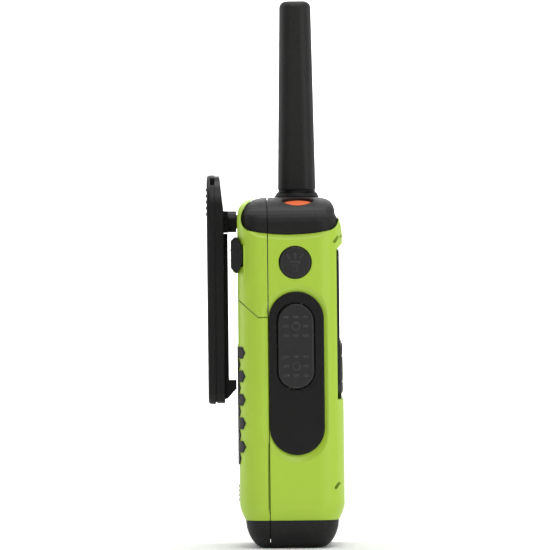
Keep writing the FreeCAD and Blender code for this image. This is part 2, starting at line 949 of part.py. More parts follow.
def lens_outline(gap):
    """The display window's outline, larger by a gap."""
    width = d.window_width + 2 * d.lens_margin + 2 * as_size(gap)
    height = d.window_top - d.window_bottom + 2 * d.lens_margin + 2 * as_size(gap)
    return rounded(ZERO, (d.window_top + d.window_bottom) / 2, width, height, as_size(2.2) + gap)


def display():
    """The clear window and the display behind it."""
    face = face_step + d.face_proud
    form = Design("display_lens")
    form.pad("XZ", -face, -face_step, lens_outline(0))
    keep(form.body, "display_lens")
    half = d.window_width / 2 + 1
    low = d.window_bottom - 1.5
    high = d.window_top + 1.5
    glass = block("lcd_glass", -half, half, -inner_front + 0.2, -inner_front + 1.8, low, high)
    tray = block("lcd_tray", -half, half, -inner_front + 1.8, -inner_front + 3.4, low - 0.8, high + 0.4)
    keep(fuse("lcd", glass, tray), "lcd_module")


def front_keys():
    """Five keys with a retaining lip and a stem, and the domes that they press."""
    face = face_step + d.face_proud + d.keypad_rise + d.key_proud
    lip_front = inner_front - 0.3
    stem_end = dome_level + d.key_travel + 0.1
    domes = []
    for name, (x, z, width, height) in KEYS.items():
        form = Design(name + "_form")
        spot = (as_size(x), as_size(z))
        form.pad(
            "XZ",
            -face,
            -lip_front,
            rounded(*spot, as_size(width), as_size(height), as_size(KEY_CORNER)),
        )
        form.fillet(as_size(0.5), on_level("Y", -face))
        lip = 2 * d.key_lip
        form.pad(
            "XZ", -lip_front, -lip_front + 0.8, rounded(*spot, width + lip, height + lip, as_size(2))
        )
        form.pad("XZ", -lip_front + 0.8, -stem_end, round_hole(*spot, as_size(1.3)))
        keep(form.body, name)
        domes.append(
            rod(name + "_dome", as_size(2.6), "Y", -dome_level, -dome_level + d.dome_height, x, z)
        )
    keep(group("domes", domes), "keypad_domes")
    back = -dome_level + d.dome_height
    keep(block("keypad_card", -20.5, 20.5, back, back + 0.8, d.face_bottom + 1, 73.2), "keypad_board")


def speaker():
    """The loudspeaker behind the slots: gauze, basket, cone and magnet."""
    z = d.speaker_level
    front = -inner_front + 0.1
    gauze = rod("gauze", d.speaker_radius - 0.4, "Y", front, front + 0.2, 0, z)
    keep(gauze, "speaker_mesh")
    rim_front = front + 0.4
    rim_back = rim_front + 1.2
    rim = rod("basket_rim", d.speaker_radius, "Y", rim_front, rim_back, 0, z)
    bowl = taper_rod("basket_bowl", d.speaker_radius - 1, as_size(9), rim_back, rim_back + 3.6, z)
    hollow_rim = rod("basket_hollow", d.speaker_radius - 2, "Y", rim_front - 1, rim_back, 0, z)
    hollow = taper_rod("basket_inside", d.speaker_radius - 2, as_size(8), rim_back, rim_back + 3, z)
    keep(cut("basket", fuse("basket_outside", rim, bowl), hollow_rim, hollow), "speaker_basket")
    outside = taper_rod(
        "cone_outside", d.speaker_radius - 2.3, as_size(4), rim_front + 0.3, rim_front + 3.6, z
    )
    inside = taper_rod(
        "cone_inside", d.speaker_radius - 2.7, as_size(3.6), rim_front + 0.3, rim_front + 3.2, z
    )
    keep(cut("cone", outside, inside), "speaker_cone")
    magnet = rod("magnet", as_size(8.5), "Y", rim_back + 3.6, d.board_y - 0.8, 0, z)
    keep(magnet, "speaker_magnet")
    mic = rod("mic", as_size(2.0), "Y", -inner_front + 0.1, -inner_front + 1.9, 0, d.mic_level)
    keep(mic, "microphone")


def taper_rod(label, front_radius, back_radius, start, end, z, x=0):
    """A cone along the depth of the casing."""
    item = doc.addObject("Part::Cone", label)
    item.Placement = FreeCAD.Placement(Vector(), Rotation(Vector(1, 0, 0), -90))
    bind(item, "Radius1", front_radius)
    bind(item, "Radius2", back_radius)
    bind(item, "Height", as_size(end) - start)
    return place(item, x, start, z)


# ---------------------------------------------------------------- side keys


def talk_panel():
    """The dark oval panel that carries the talk key's axle."""
    form = Design("talk_panel_form")
    form.pad(
        "YZ",
        -panel_face,
        -panel_floor,
        stadium(d.panel_y, d.panel_z, d.panel_width, d.panel_height),
    )
    form.fillet(as_size(0.4), on_level("X", -panel_face))
    plug = 2 * d.panel_lip + 2 * d.fit
    outline = stadium(d.panel_y, d.panel_z, d.panel_width - plug, d.panel_height - plug)
    form.pad("YZ", -panel_floor, -inner_half, outline)
    gap = 2 * d.talk_gap
    hole = stadium(d.talk_y, d.talk_z, d.talk_width + gap, d.talk_height + gap)
    lugs = []
    bores = [prism("talk_hole", "YZ", -half_width, -inner_half + 1, hole)]
    near_side = d.talk_width / 2 + d.talk_gap
    for side in (-1, 1):
        inside = d.talk_y + near_side * side
        outside = inside + as_size(1.1) * side
        low, high = (outside, inside) if side < 0 else (inside, outside)
        name = "talk_lug%d" % (side + 1)
        lugs.append(
            block(
                name, -inner_half - 0.1, -talk_axis + 1.3, low, high, d.talk_z - 1.6, d.talk_z + 1.6
            )
        )
    bore = d.axle_radius + d.axle_play
    bores.append(rod("talk_bore", bore, "Y", -15, 12, -talk_axis, d.talk_z))
    keep(cut("talk_panel_solid", fuse("talk_panel_lugs", form.body, *lugs), *bores), "talk_panel")


def talk_key():
    """The rocking talk key, with two fields of raised marks, an axle and two pushers."""
    form = Design("talk_key_form")
    back = talk_face - d.talk_thick
    form.pad("YZ", -talk_face, -back, stadium(d.talk_y, d.talk_z, d.talk_width, d.talk_height))
    form.fillet(as_size(0.7), on_level("X", -talk_face))
    pieces = [form.body]
    pieces.append(
        block(
            "talk_web",
            -back - 0.1,
            -talk_axis + 0.5,
            d.talk_y - 3.5,
            d.talk_y + 3.5,
            d.talk_z - 1.2,
            d.talk_z + 1.2,
        )
    )
    reach = d.talk_width / 2 + d.talk_gap + 0.9
    pieces.append(
        rod("talk_axle", d.axle_radius, "Y", d.talk_y - reach, d.talk_y + reach, -talk_axis, d.talk_z)
    )
    push = side_board_face + d.switch_height + 0.5
    for side in (-1, 1):
        level = d.talk_z + d.talk_throw * side
        pieces.append(
            rod("pusher%d" % (side + 1), as_size(1.2), "X", -back - 0.1, -push, d.talk_y, level)
        )
        pieces.extend(grip_marks("marks%d" % (side + 1), d.talk_y, d.talk_z + 6.9 * side))
    keep(fuse("talk_key_solid", *pieces), "talk_key")


def grip_marks(label, y, z):
    """Nine raised marks in three rows, the middle one a ring."""
    face = talk_face
    marks = []
    for row in (-1, 0, 1):
        for column in (-1, 0, 1):
            name = "%s_%d%d" % (label, row + 1, column + 1)
            if row == 0 and column == 0:
                outside = rod(name + "_out", as_size(1.5), "X", -face - 0.18, -face + 0.2, y, z)
                inside = rod(name + "_in", as_size(1.05), "X", -face - 1, -face + 1, y, z)
                marks.append(cut(name, outside, inside))
                continue
            centre = y + 3.4 * column
            level = z + 3.2 * row
            marks.append(
                block(
                    name,
                    -face - 0.18,
                    -face + 0.2,
                    centre - 0.85,
                    centre + 0.85,
                    level - 0.25,
                    level + 0.25,
                )
            )
    return marks


def light_key():
    """The round lamp key, with a raised lamp sign."""
    face = light_face
    y, z = d.light_y, d.light_z
    form = Design("light_key_form")
    form.pad("YZ", -face, -inner_half + 0.3, round_hole(y, z, d.light_radius))
    form.fillet(as_size(0.5), on_level("X", -face))
    form.pad("YZ", -inner_half + 0.3, -inner_half + 1.1, round_hole(y, z, d.light_radius + 0.8))
    tip = side_board_face + d.switch_height + d.push_travel + 0.1
    pieces = [form.body, rod("light_stem", as_size(1.2), "X", -inner_half + 1, -tip, y, z)]
    raised = (-face - 0.15, -face + 0.2)
    head = polygon((y - 1.9, z + 0.3), (y + 1.9, z + 0.3), (y + 0.9, z - 0.9), (y - 0.9, z - 0.9))
    pieces.append(prism("lamp_head", "YZ", *raised, head))
    pieces.append(block("lamp_grip", *raised, y - 0.7, y + 0.7, z - 3.1, z - 1.3))
    for step in (-1, 0, 1):
        ray = doc.addObject("Part::Box", "ray%d" % (step + 1))
        ray.Placement = FreeCAD.Placement(Vector(), Rotation(Vector(1, 0, 0), -35 * step))
        for name, size in (("Length", raised[1] - raised[0]), ("Width", 0.4), ("Height", 1.8)):
            bind(ray, name, as_size(size))
        pieces.append(place(ray, raised[0], y + 1.7 * step - 0.2, z + 1.3))
    beside_jack = block("light_flat", 0.1 - inner_half, 0, jack_back - 1.4, 20, z - 10, z + 10)
    keep(cut("light_key_solid", fuse("light_key_joined", *pieces), beside_jack), "light_key")


def side_electronics():
    """The small side board and the switches under the side keys."""
    face = side_board_face
    keep(block("side_card", -face, -face + 0.8, -9, jack_back - 1.3, 54, 104), "side_board")
    switches = []
    spots = (
        (d.talk_y, d.talk_z - d.talk_throw), (d.talk_y, d.talk_z + d.talk_throw), (d.light_y, d.light_z)
    )
    for i, (y, z) in enumerate(spots):
        can = block("switch_can%d" % i, -face - 0.7, -face, y - 2.2, y + 2.2, z - 2.2, z + 2.2)
        button = rod(
            "switch_button%d" % i, as_size(1.2), "X", -face - d.switch_height, -face - 0.6, y, z
        )
        switches.append(fuse("switch%d" % i, can, button))
    keep(group("switches", switches), "side_switches")


# ---------------------------------------------------------------- top

cap_half_width = half_width - d.cap_inset
cap_half_depth = half_depth - 0.6
cap_height = d.top_height - d.shoulder
nut_radius = as_size(4.0)


def tilted_rod(label, radius, low, high):
    """A cylinder on the emergency key's leaning axis; low and high are measured from its face."""
    item = doc.addObject("Part::Cylinder", label)
    angle = number(d.alert_tilt)
    item.Placement = FreeCAD.Placement(Vector(), Rotation(Vector(0, 1, 0), -angle))
    bind(item, "Radius", radius)
    bind(item, "Height", as_size(high) - low)
    across = math.sin(math.radians(angle))
    up = math.cos(math.radians(angle))
    return place(item, d.alert_x - as_size(low) * across, d.alert_y, d.alert_face + as_size(low) * up)


def cap_form():
    """The domed cap over the whole top, hollow, with a plug that fits inside the walls."""
    dome = crown("cap_dome", cap_half_width, cap_half_depth, cap_height, d.corner_round - d.cap_inset)
    inside_height = cap_height - d.cap_wall
    inside = crown(
        "cap_inside",
        cap_half_width - d.cap_wall,
        cap_half_depth - d.cap_wall,
        inside_height,
        d.corner_round - d.cap_inset - d.cap_wall,
    )
    skin = common("cap_skin", dome, bowl_form("cap_bowl", cap_joint))
    plug = prism("cap_plug", "XY", d.shoulder - d.plug_depth, plug_top, inner_outline(d.fit))
    core = prism(
        "cap_plug_core", "XY", d.shoulder - d.plug_depth - 1, plug_top + 1, inner_outline(
            d.fit + d.plug_wall
        )
    )
    shell = cut("cap_shell", skin, inside)
    ring = cut("cap_ring", plug, core)
    return cut("cap_form", fuse("cap_joined", shell, ring), inside_trim("cap_trim"))


def inside_trim(label):
    """Clears the dome's inside right down to the plug."""
    return prism(label, "XY", d.shoulder - 1, plug_top + 1, inner_outline(d.fit + d.plug_wall))


def top_caps():
    """The cap in its two halves, split at the casing's seam."""
    whole = cap_form()
    front = common("cap_front_half", whole, front_space)
    rear = common("cap_rear_half", whole, rear_space)
    keep(
        cut(
            "top_cap_front_solid",
            front,
            rod(
                "collar_well",
                d.collar_radius + 0.1,
                "Z",
                d.collar_seat,
                d.top_height + 5,
                d.aerial_x,
                d.aerial_y,
            ),
            rod(
                "stud_hole", d.stud_radius + 0.1, "Z", d.shoulder, d.top_height, d.aerial_x, d.aerial_y
            ),
            rod(
                "nut_seat",
                nut_radius + 0.3,
                "Z",
                d.shoulder,
                d.collar_seat - 1.3,
                d.aerial_x,
                d.aerial_y,
            ),
            tilted_rod("alert_hole", d.alert_radius + 0.3, -8, 8),
            tilted_rod("alert_relief", d.alert_radius + 1.4, -8, -1.9),
        ),
        "top_cap_front",
    )
    hole = rod("boss_clearance", d.boss_radius + 0.3, "Y", 0, half_depth, 0, d.clip_z)
    x = d.lanyard_x
    groove = rod("lanyard_groove", as_size(1.8), "X", x - 5, x + 5, lanyard_y, d.lanyard_z)
    band = block("tongue_band", -FAR, FAR, seam_front - 1.4, seam_rear + 0.6, plug_top - 0.2, 3 * FAR)
    tongue = common("cap_tongue", cap_lining(), band)
    keep(cut("top_cap_rear_solid", fuse("cap_rear_joined", rear, tongue), hole, groove), "top_cap_rear")


def cap_lining():
    """A thin skin just under the dome, clear of it by the fit."""
    layers = []
    for name, inset in (("lining_out", d.cap_wall + d.fit), ("lining_in", d.cap_wall + 1.2)):
        width = cap_half_width - inset
        depth = cap_half_depth - inset
        corner = d.corner_round - d.cap_inset - d.cap_wall
        layers.append(crown(name, width, depth, cap_height - inset, corner))
    return cut("lining_skin", *layers)


def emergency_key():
    """The orange key on the crown, its face leaning with the slope, and its switch."""
    cap = tilted_rod("alert_cap", d.alert_radius, -2.6, 0)
    lip = tilted_rod("alert_lip", d.alert_radius + 0.9, -3.0, -2.2)
    stem = tilted_rod("alert_stem", as_size(1.4), -4.6, -2.9)
    keep(fuse("alert_solid", cap, lip, stem), "emergency_key")
    x, y = d.alert_x + 0.7, d.alert_y
    top = d.alert_face - 4.6 - d.push_travel - 0.2
    back = d.board_y + d.board_thick
    can = block("alert_can", x - 2.4, x + 2.4, back, y + 2.4, top - 2.4, top - 0.5)
    button = rod("alert_button", as_size(1.2), "Z", top - 0.6, top, x, y)
    keep(fuse("alert_switch", can, button), "top_switch")


def sleeve_steps():
    """Levels up the aerial's sleeve, each with how far its rounded tip draws in there."""
    steps = [(d.collar_top, 0.0), (d.collar_top + (d.aerial_tip - d.collar_top) * 0.5, 0.0)]
    for turn in (0, 15, 30, 45, 60, 75, 90):
        angle = math.radians(turn)
        level = d.aerial_tip - d.tip_round * (1 - math.sin(angle))
        steps.append((level, d.tip_round * (1 - math.cos(angle))))
    return steps


COLLAR_STEPS = (
    (0.0, 0.0), (0.45, 0.05), (0.58, 0.2), (0.68, 0.45), (0.76, 0.8), (0.82, 1.1), (1.0, 1.2)
)


def aerial():
    """The fixed aerial: collar, rubber sleeve, coil, stud and the contact that feeds it."""
    x, y = d.aerial_x, d.aerial_y
    tiers = []
    for share, inset in COLLAR_STEPS:
        level = d.collar_seat + (d.collar_top - d.collar_seat) * share
        tiers.append((level, round_hole(x, y, d.collar_radius - inset)))
    body = Design("collar_form").loft(tiers, straight=True).body
    bore = rod("collar_bore", d.stud_radius, "Z", d.collar_seat - 1, d.collar_top + 1, x, y)
    keep(cut("collar", body, bore), "antenna_collar")
    form = Design("sleeve_form")
    sections = []
    for level, inset in sleeve_steps():
        share = (level - d.collar_top) / (d.aerial_tip - d.collar_top)
        width = d.aerial_base_width + (d.aerial_tip_width - d.aerial_base_width) * share
        depth = d.aerial_base_depth + (d.aerial_tip_depth - d.aerial_base_depth) * share
        outline = rounded(x, y, width - 2 * inset, depth - 2 * inset, d.aerial_round - inset)
        sections.append((level, outline))
    form.loft(sections, straight=True)
    hollow = rod("sleeve_bore", d.aerial_bore, "Z", d.collar_top - 1, d.aerial_tip - 6, x, y)
    keep(cut("sleeve", form.body, hollow), "antenna_sleeve")
    stud = rod("stud_rod", d.stud_radius, "Z", d.collar_seat - 7.6, d.collar_top + 1.5, x, y)
    nut_top = d.collar_seat - 1.3
    nut = rod("stud_nut", nut_radius, "Z", nut_top - 1.6, nut_top, x, y)
    keep(fuse("stud", stud, nut), "antenna_stud")
    low = d.collar_top + 2.2
    helix = doc.addObject("Part::Helix", "coil_line")
    bind(helix, "Radius", d.aerial_bore - 0.9)
    bind(helix, "Height", d.aerial_tip - 8 - low)
    helix.Pitch = 3.2
    place(helix, x, y, low)
    wire = doc.addObject("Part::Circle", "coil_wire")
    wire.Radius = 0.5
    wire.Placement = FreeCAD.Placement(Vector(), Rotation(Vector(1, 0, 0), 90))
    place(wire, x + d.aerial_bore - 0.9, y, low)
    coil = doc.addObject("Part::Sweep", "coil")
    coil.Sections = [wire]
    coil.Spine = (helix, [])
    coil.Solid = True
    coil.Frenet = True
    keep(coil, "antenna_coil")
    back = d.board_y + d.board_thick
    end = d.collar_seat - 7.6
    leaf = block("contact_leaf", x - 1.2, x + 1.2, back, back + 0.5, 98, end)
    foot = block("contact_foot", x - 1.2, x + 1.2, back, y + 1.5, end - 0.5, end)
    keep(fuse("contact", leaf, foot), "antenna_contact")


# ---------------------------------------------------------------- back

axis_y = cover_pin_y
axis_z = d.cover_pin_z


def rear_housing():
    """The upper back shell, with a bulkhead, the clip's boss and the sockets' block."""
    shell = cut("rear_upper", common("rear_shell", casing, rear_space), door_zone("door_space", 0))
    floor = d.door_side_top + 0.6
    plate = prism("bulkhead", "XY", floor, floor + 1.8, inner_outline())
    pieces = [shell, common("bulkhead_part", plate, rear_space)]
    pieces.append(
        block(
            "port_block",
            cover_left - 0.6,
            cover_right + 1.0,
            11.5,
            port_floor,
            d.cover_bottom - 2.6,
            105.2,
        )
    )
    pieces.append(rod("clip_boss", d.boss_radius, "Y", boss_inner, half_depth - 1, 0, d.clip_z))
    pieces.append(
        rod("cover_lug", as_size(1.15), "X", d.cover_x - 1.3, d.cover_x + 1.3, axis_y, axis_z)
    )
    pieces.append(
        block(
            "cover_lug_foot",
            d.cover_x - 1.3,
            d.cover_x + 1.3,
            port_floor - 0.2,
            axis_y,
            axis_z - 1.1,
            axis_z + 1.1,
        )
    )
    for side in (-1, 1):
        x = d.lanyard_x + 3.6 * side
        pieces.append(
            rod(
                "lanyard_ear%d" % (side + 1),
                as_size(1.5),
                "X",
                x - 0.9,
                x + 0.9,
                lanyard_y,
                d.lanyard_z,
            ),
        )
    holes = [
        rod("clip_bore", d.post_shaft + d.axle_play, "Y", 8, half_depth + 2, 0, d.clip_z),
        rod("cover_pin_hole", d.cover_pin_radius, "X", cover_left, cover_right, axis_y, axis_z),
        rod("jack_hole", d.jack_case, "Y", 8, port_floor + 1, d.jack_x, d.jack_z),
        block(
            "usb_hole", d.usb_x - 1.5, d.usb_x + 1.5, 8, port_floor + 1, d.jack_z - 3.9, d.jack_z + 3.4
        ),
        rod(
            "lanyard_hole",
            as_size(0.7),
            "X",
            d.lanyard_x - 5,
            d.lanyard_x + 5,
            lanyard_y,
            d.lanyard_z,
        ),
    ]
    for i, (side, level) in enumerate(SCREW_SPOTS):
        x, z = d.boss_x * side, getattr(d, level)
        pieces.append(rod("rear_boss%d" % i, as_size(2.9), "Y", seam_rear, inner_rear + 0.5, x, z))
        holes.append(rod("screw_way%d" % i, screw_radius + 0.3, "Y", 0, half_depth + 2, x, z))
        holes.append(rod("screw_head_way%d" % i, as_size(2.2), "Y", 13, half_depth + 2, x, z))
    keep(cut("rear_housing_solid", fuse("rear_joined", *pieces), *holes), "rear_housing")


def screws():
    """Three casing screws and two that hold the battery tub."""
    solids = []
    for i, (side, level) in enumerate(SCREW_SPOTS):
        solids.append(
            screw("casing_screw%d" % i, d.boss_x * side, getattr(d, level), 13, 15, as_size(1.9))
        )
    keep(group("casing_screws", solids), "housing_screws")
    seat = d.tub_front + d.tub_wall
    solids = [
        screw("tub_screw%d" % i, x, d.tub_screw_z, seat, 7, as_size(1.7))
        for i, x in enumerate(TUB_SCREWS_X)
    ]
    keep(group("tub_screws_group", solids), "tub_screws")


def screw(label, x, z, seat, length, head):
    """A pan head screw along the depth of the casing, its head on the seat."""
    shank = rod(label + "_shank", screw_radius, "Y", as_size(seat) - length, as_size(seat) + 0.1, x, z)
    top = rod(label + "_head", head, "Y", seat, as_size(seat) + 1.3, x, z)
    slots = [
        block(
            label + "_slot",
            x - 1.1,
            x + 1.1,
            as_size(seat) + 0.7,
            as_size(seat) + 2,
            z - 0.25,
            z + 0.25,
        ),
        block(
            label + "_cross",
            x - 0.25,
            x + 0.25,
            as_size(seat) + 0.7,
            as_size(seat) + 2,
            z - 1.1,
            z + 1.1,
        ),
    ]
    return cut(label, fuse(label + "_body", shank, top), *slots)


def ports():
    """The headset jack, the charging socket, their rubber cover and its pin."""
    case = rod("jack_case_rod", d.jack_case, "Y", jack_back - 1, port_floor, d.jack_x, d.jack_z)
    bore = rod("jack_bore", d.jack_radius, "Y", jack_back, port_floor + 1, d.jack_x, d.jack_z)
    keep(cut("jack", case, bore), "headset_jack")
    low, high = d.jack_z - 3.9, d.jack_z + 3.4
    shell = block("usb_shell", d.usb_x - 1.5, d.usb_x + 1.5, port_floor - 7, port_floor, low, high)
    inside = block(
        "usb_inside", d.usb_x - 1.1, d.usb_x + 1.1, port_floor - 6, port_floor + 1, low + 0.4, high - 0.4
    )
    tongue = block(
        "usb_tongue", d.usb_x - 0.4, d.usb_x + 0.2, port_floor - 6.5, port_floor - 1, low + 1.2, high - 1.2
    )
    keep(fuse("usb", cut("usb_case", shell, inside), tongue), "usb_socket")
    outline = polygon(
        (cover_seat - 1, d.cover_bottom),
        (cover_seat + 2.1, d.cover_bottom),
        (cover_face, d.cover_bottom + 1.9),
        (cover_face, d.cover_top - 1.3),
        (cover_face - 1.3, d.cover_top),
        (cover_seat - 1, d.cover_top),
    )
    form = Design("cover_form").pad("YZ", cover_left, cover_right, outline)
    under = rod("cover_under", d.cover_scoop - d.cover_gap, "X", -FAR, FAR, scoop_y, scoop_z)
    face = cover_face
    form.fillet(as_size(0.9), along("Z", lambda centre: near(centre.y, face)))
    notch = block("cover_notch", d.cover_x - 1.6, d.cover_x + 1.6, 10, 25, 90, axis_z + 1.8)
    way = rod(
        "cover_bore",
        d.cover_pin_radius + d.axle_play,
        "X",
        cover_left + 1.0,
        cover_right - 1.0,
        axis_y,
        axis_z,
    )
    keep(cut("port_cover_solid", common("cover_shape", form.body, under), notch, way), "port_cover")
    pin = rod(
        "cover_pin_rod", d.cover_pin_radius, "X", cover_left + 1.2, cover_right - 1.2, axis_y, axis_z
    )
    keep(pin, "cover_pin")
    x = d.lanyard_x
    bar = rod("lanyard_rod", as_size(0.7), "X", x - 4.5, x + 4.5, lanyard_y, d.lanyard_z)
    keep(bar, "lanyard_bar")


GRIP_ROWS = 10


def grip_hexes():
    """The six-sided grip pads' columns and rows, running through the door's surface."""
    hexes = []
    for row in range(GRIP_ROWS):
        shift = 0.5 if row % 2 else 0.0
        for column in range(-5, 5):
            across = column + shift
            if abs(across) > 4.5:
                continue
            pad = doc.addObject("Part::Prism", "grip_%d_%d" % (row, column + 5))
            pad.Polygon = 6
            pad.Placement = FreeCAD.Placement(Vector(), Rotation(Vector(1, 0, 0), -90))
            bind(pad, "Circumradius", d.grip_radius)
            bind(pad, "Height", as_size(9))
            place(pad, d.grip_column * across, half_depth - 5, d.grip_bottom + d.grip_pitch * row)
            hexes.append(pad)
    return hexes


def grip_band(label, offset, reach):
    """A tall block with the casing's own plan, larger by an offset, between two levels."""
    width = d.body_width + 2 * as_size(offset)
    depth = d.body_depth + 2 * as_size(offset)
    outline = rounded(ZERO, ZERO, width, depth, d.corner_round + offset)
    return prism(label, "XY", 25 - as_size(reach), 76 + as_size(reach), outline)


def battery_door():
    """The sliding door over the cells, its grip pads and its latch."""
    blank = common("door_blank", casing, rear_space, door_zone("door_outline", d.part_gap))
    band = cut(
        "grip_skin", grip_band("grip_outer", d.grip_proud, 0), grip_band("grip_inner", -d.grip_depth, 1)
    )
    pads = common("grip_solid", group("grip_columns", grip_hexes()), band)
    keep(pads, "grip_pads")
    latch_low = d.latch_bottom - 0.2
    latch_high = d.latch_bottom + d.latch_height + d.latch_travel + 0.2
    half = d.latch_width / 2
    floor = half_depth - d.latch_recess
    recess = block("latch_recess", -half, half, floor, FAR, latch_low, latch_high)
    track = block("latch_track", -half - 0.7, half + 0.7, floor, floor + 0.6, latch_low, latch_high)
    grooves = []
    for side in (-1, 1):
        x0, x1 = (-FAR, 1.0 - half_width) if side < 0 else (half_width - 1.0, FAR)
        edge = seam_rear + d.door_shadow
        grooves.append(
            block("door_edge%d" % (side + 1), x0, x1, seam_rear - 1, edge, -FAR, d.face_bottom + 1.5)
        )
    keep(cut("battery_door_solid", blank, pads, recess, track, *grooves), "battery_door")
    low, high = d.latch_bottom, d.latch_bottom + d.latch_height
    tongue = block("latch_tongue", -half - 0.45, half + 0.45, floor + 0.1, floor + 0.45, low, high)
    slab = block("latch_slab", -half + 0.2, half - 0.2, floor + 0.1, half_depth - 0.1, low, high)
    ribs = []
    for i in range(4):
        level = low + 1.1 + 1.6 * i
        ribs.append(
            block(
                "latch_rib%d" % i,
                -half + 1.5,
                half - 1.5,
                half_depth - 0.2,
                half_depth + 0.3,
                level,
                level + 0.7,
            )
        )
    keep(fuse("latch", tongue, slab, *ribs), "door_latch")


def boot_outline(inset, corner_share):
    """The boot's outline, drawn in by an inset."""
    half_x = half_width - d.boot_inset - inset
    half_y = half_depth - d.boot_inset - inset
    corner = d.corner_round - d.boot_inset - as_size(inset) * corner_share
    return rounded(ZERO, ZERO, half_x * 2, half_y * 2, corner)


def boots():
    """The rubber boot in its two halves; the rear half belongs to the battery door."""
    sections = []
    for rise in FLARE_STEPS:
        inset = d.boot_flare * (1 - (1 - (1 - rise) ** FLARE_POWER) ** (1 / FLARE_POWER))
        sections.append((d.boot_height * rise, boot_outline(inset, 0.4)))
    cup = Design("boot_cup").loft(sections, straight=True).body
    clear = d.lip_depth + d.fit
    plug = prism(
        "boot_plug", "XY", d.boot_height, d.boot_height + d.lip_height - 0.4, inner_outline(clear)
    )
    inset = d.boot_flare * 0.4 + d.boot_wall - 0.6
    hollow = prism("boot_hollow", "XY", d.boot_floor, d.boot_height + 5, boot_outline(inset, 0.6))
    whole = cut("boot_whole", fuse("boot_joined", cup, plug), hollow)
    hole = rod("torch_hole", d.torch_radius + 0.1, "Z", -1, d.boot_floor + 1, d.torch_x, d.torch_y)
    keep(cut("boot_front", common("boot_front_half", whole, front_space), hole), "bottom_boot_front")
    keep(common("boot_rear_half", whole, rear_space), "bottom_boot_rear")


def torch():
    """The lamp in the underside: lens, reflector and light source."""
    x, y = d.torch_x, d.torch_y
    lens_top = d.boot_floor - 0.8
    keep(rod("torch_glass", d.torch_radius, "Z", 0.5, lens_top, x, y), "torch_lens")
    outside = upright_cone("reflector_outside", d.torch_radius - 0.3, as_size(2.6), lens_top, 7.0, x, y)
    inside = upright_cone("reflector_inside", d.torch_radius - 0.9, as_size(1.8), lens_top, 6.9, x, y)
    throat = rod("reflector_throat", as_size(1.7), "Z", 5, 8, x, y)
    keep(cut("reflector", outside, inside, throat), "torch_reflector")
    lamp = rod("led_lamp", as_size(1.5), "Z", 6.0, 7.1, x, y)
    card = block("led_card", x - 5, x + 5, y - 3.5, y + 3.5, 7.0, 7.8)
    keep(fuse("led", lamp, card), "torch_led")


def upright_cone(label, low_radius, high_radius, low, high, x, y):
    """A cone that stands upright."""
    item = doc.addObject("Part::Cone", label)
    bind(item, "Radius1", low_radius)
    bind(item, "Radius2", high_radius)
    bind(item, "Height", as_size(high) - low)
    return place(item, x, y, low)


def seals():
    """The strips in the casing's seam and the ring on the battery tub's rim."""
    low = d.door_side_top + 1
    strips = []
    for side in (-1, 1):
        near_x = (half_width - 1.6) * side
        far_x = (half_width - 0.6) * side
        x0, x1 = (far_x, near_x) if side < 0 else (near_x, far_x)
        strips.append(
            block("seam_strip%d" % (side + 1), x0, x1, seam_front, seam_rear, low, d.shoulder - 3)
        )
    keep(group("seam_strips", strips), "housing_gasket")
    low, high = d.tub_bottom + d.tub_wall, d.tub_top - d.tub_wall
    back = d.tub_rear + 0.5
    left = block("door_seal_left", d.tub_left, d.tub_left + d.tub_wall, d.tub_rear, back, low, high)
    right = block("door_seal_right", d.tub_right - d.tub_wall, d.tub_right, d.tub_rear, back, low, high)
    keep(group("door_seal", [left, right]), "door_gasket")


# ---------------------------------------------------------------- inside


def battery():
    """The tub, its three cells and the contacts at their ends."""
    wall = d.tub_wall
    outside = block(
        "tub_out", d.tub_left, d.tub_right, d.tub_front, d.tub_rear, d.tub_bottom, d.tub_top
    )
    inside = block(
        "tub_in",
        d.tub_left + wall,
        d.tub_right - wall,
        d.tub_front + wall,
        d.tub_rear + 1,
        d.tub_bottom + wall,
        d.tub_top - wall,
    )
    holes = [
        rod("tub_hole%d" % i, screw_radius, "Y", d.tub_front - 1, d.tub_front + 3, x, d.tub_screw_z)
        for i, x in enumerate(TUB_SCREWS_X)
    ]
    ends = []
    for i, level in enumerate((d.tub_bottom, d.tub_top - wall)):
        ends.append(
            block(
                "tub_end%d" % i,
                d.tub_left + 1.4,
                d.tub_right - 1.4,
                d.tub_rear - 0.1,
                14,
                level,
                level + wall,
            )
        )
    keep(fuse("tub", cut("tub_box", outside, inside, *holes), *ends), "battery_tub")
    middle_x = (d.tub_left + d.tub_right) / 2
    middle_y = d.tub_front + wall + 0.3 + d.cell_radius
    top = d.cell_bottom + d.cell_length
    cells = []
    contacts = []
    for i in (-1, 0, 1):
        x = middle_x + d.cell_pitch * i
        can = rod("cell_can%d" % (i + 1), d.cell_radius, "Z", d.cell_bottom, top - 1, x, middle_y)
        stud = rod("cell_stud%d" % (i + 1), as_size(2.6), "Z", top - 1.1, top, x, middle_y)
        cells.append(fuse("cell%d" % (i + 1), can, stud))
        base = d.tub_bottom + wall
        plate = block(
            "contact_plate%d" % (i + 1), x - 4, x + 4, middle_y - 4, middle_y + 4, base, base + 0.5
        )
        spring = upright_spring("contact_spring%d" % (i + 1), x, middle_y, base + 0.4, d.cell_bottom)
        contacts.append(fuse("contact_low%d" % (i + 1), plate, spring))
        tab_top = d.tub_top - wall
        contacts.append(
            block("contact_high%d" % (i + 1), x - 4, x + 4, middle_y - 4, middle_y + 4, top, tab_top)
        )
    keep(group("cells", cells), "battery_cells")
    keep(group("contacts", contacts), "battery_contacts")


def upright_spring(label, x, y, low, high):
    """A conical contact spring, drawn as a stepped hollow cone."""
    outside = upright_cone(label + "_out", as_size(3.6), as_size(2.2), low, high, x, y)
    inside = upright_cone(label + "_in", as_size(3.0), as_size(1.6), low, high, x, y)
    return cut(label, outside, inside)


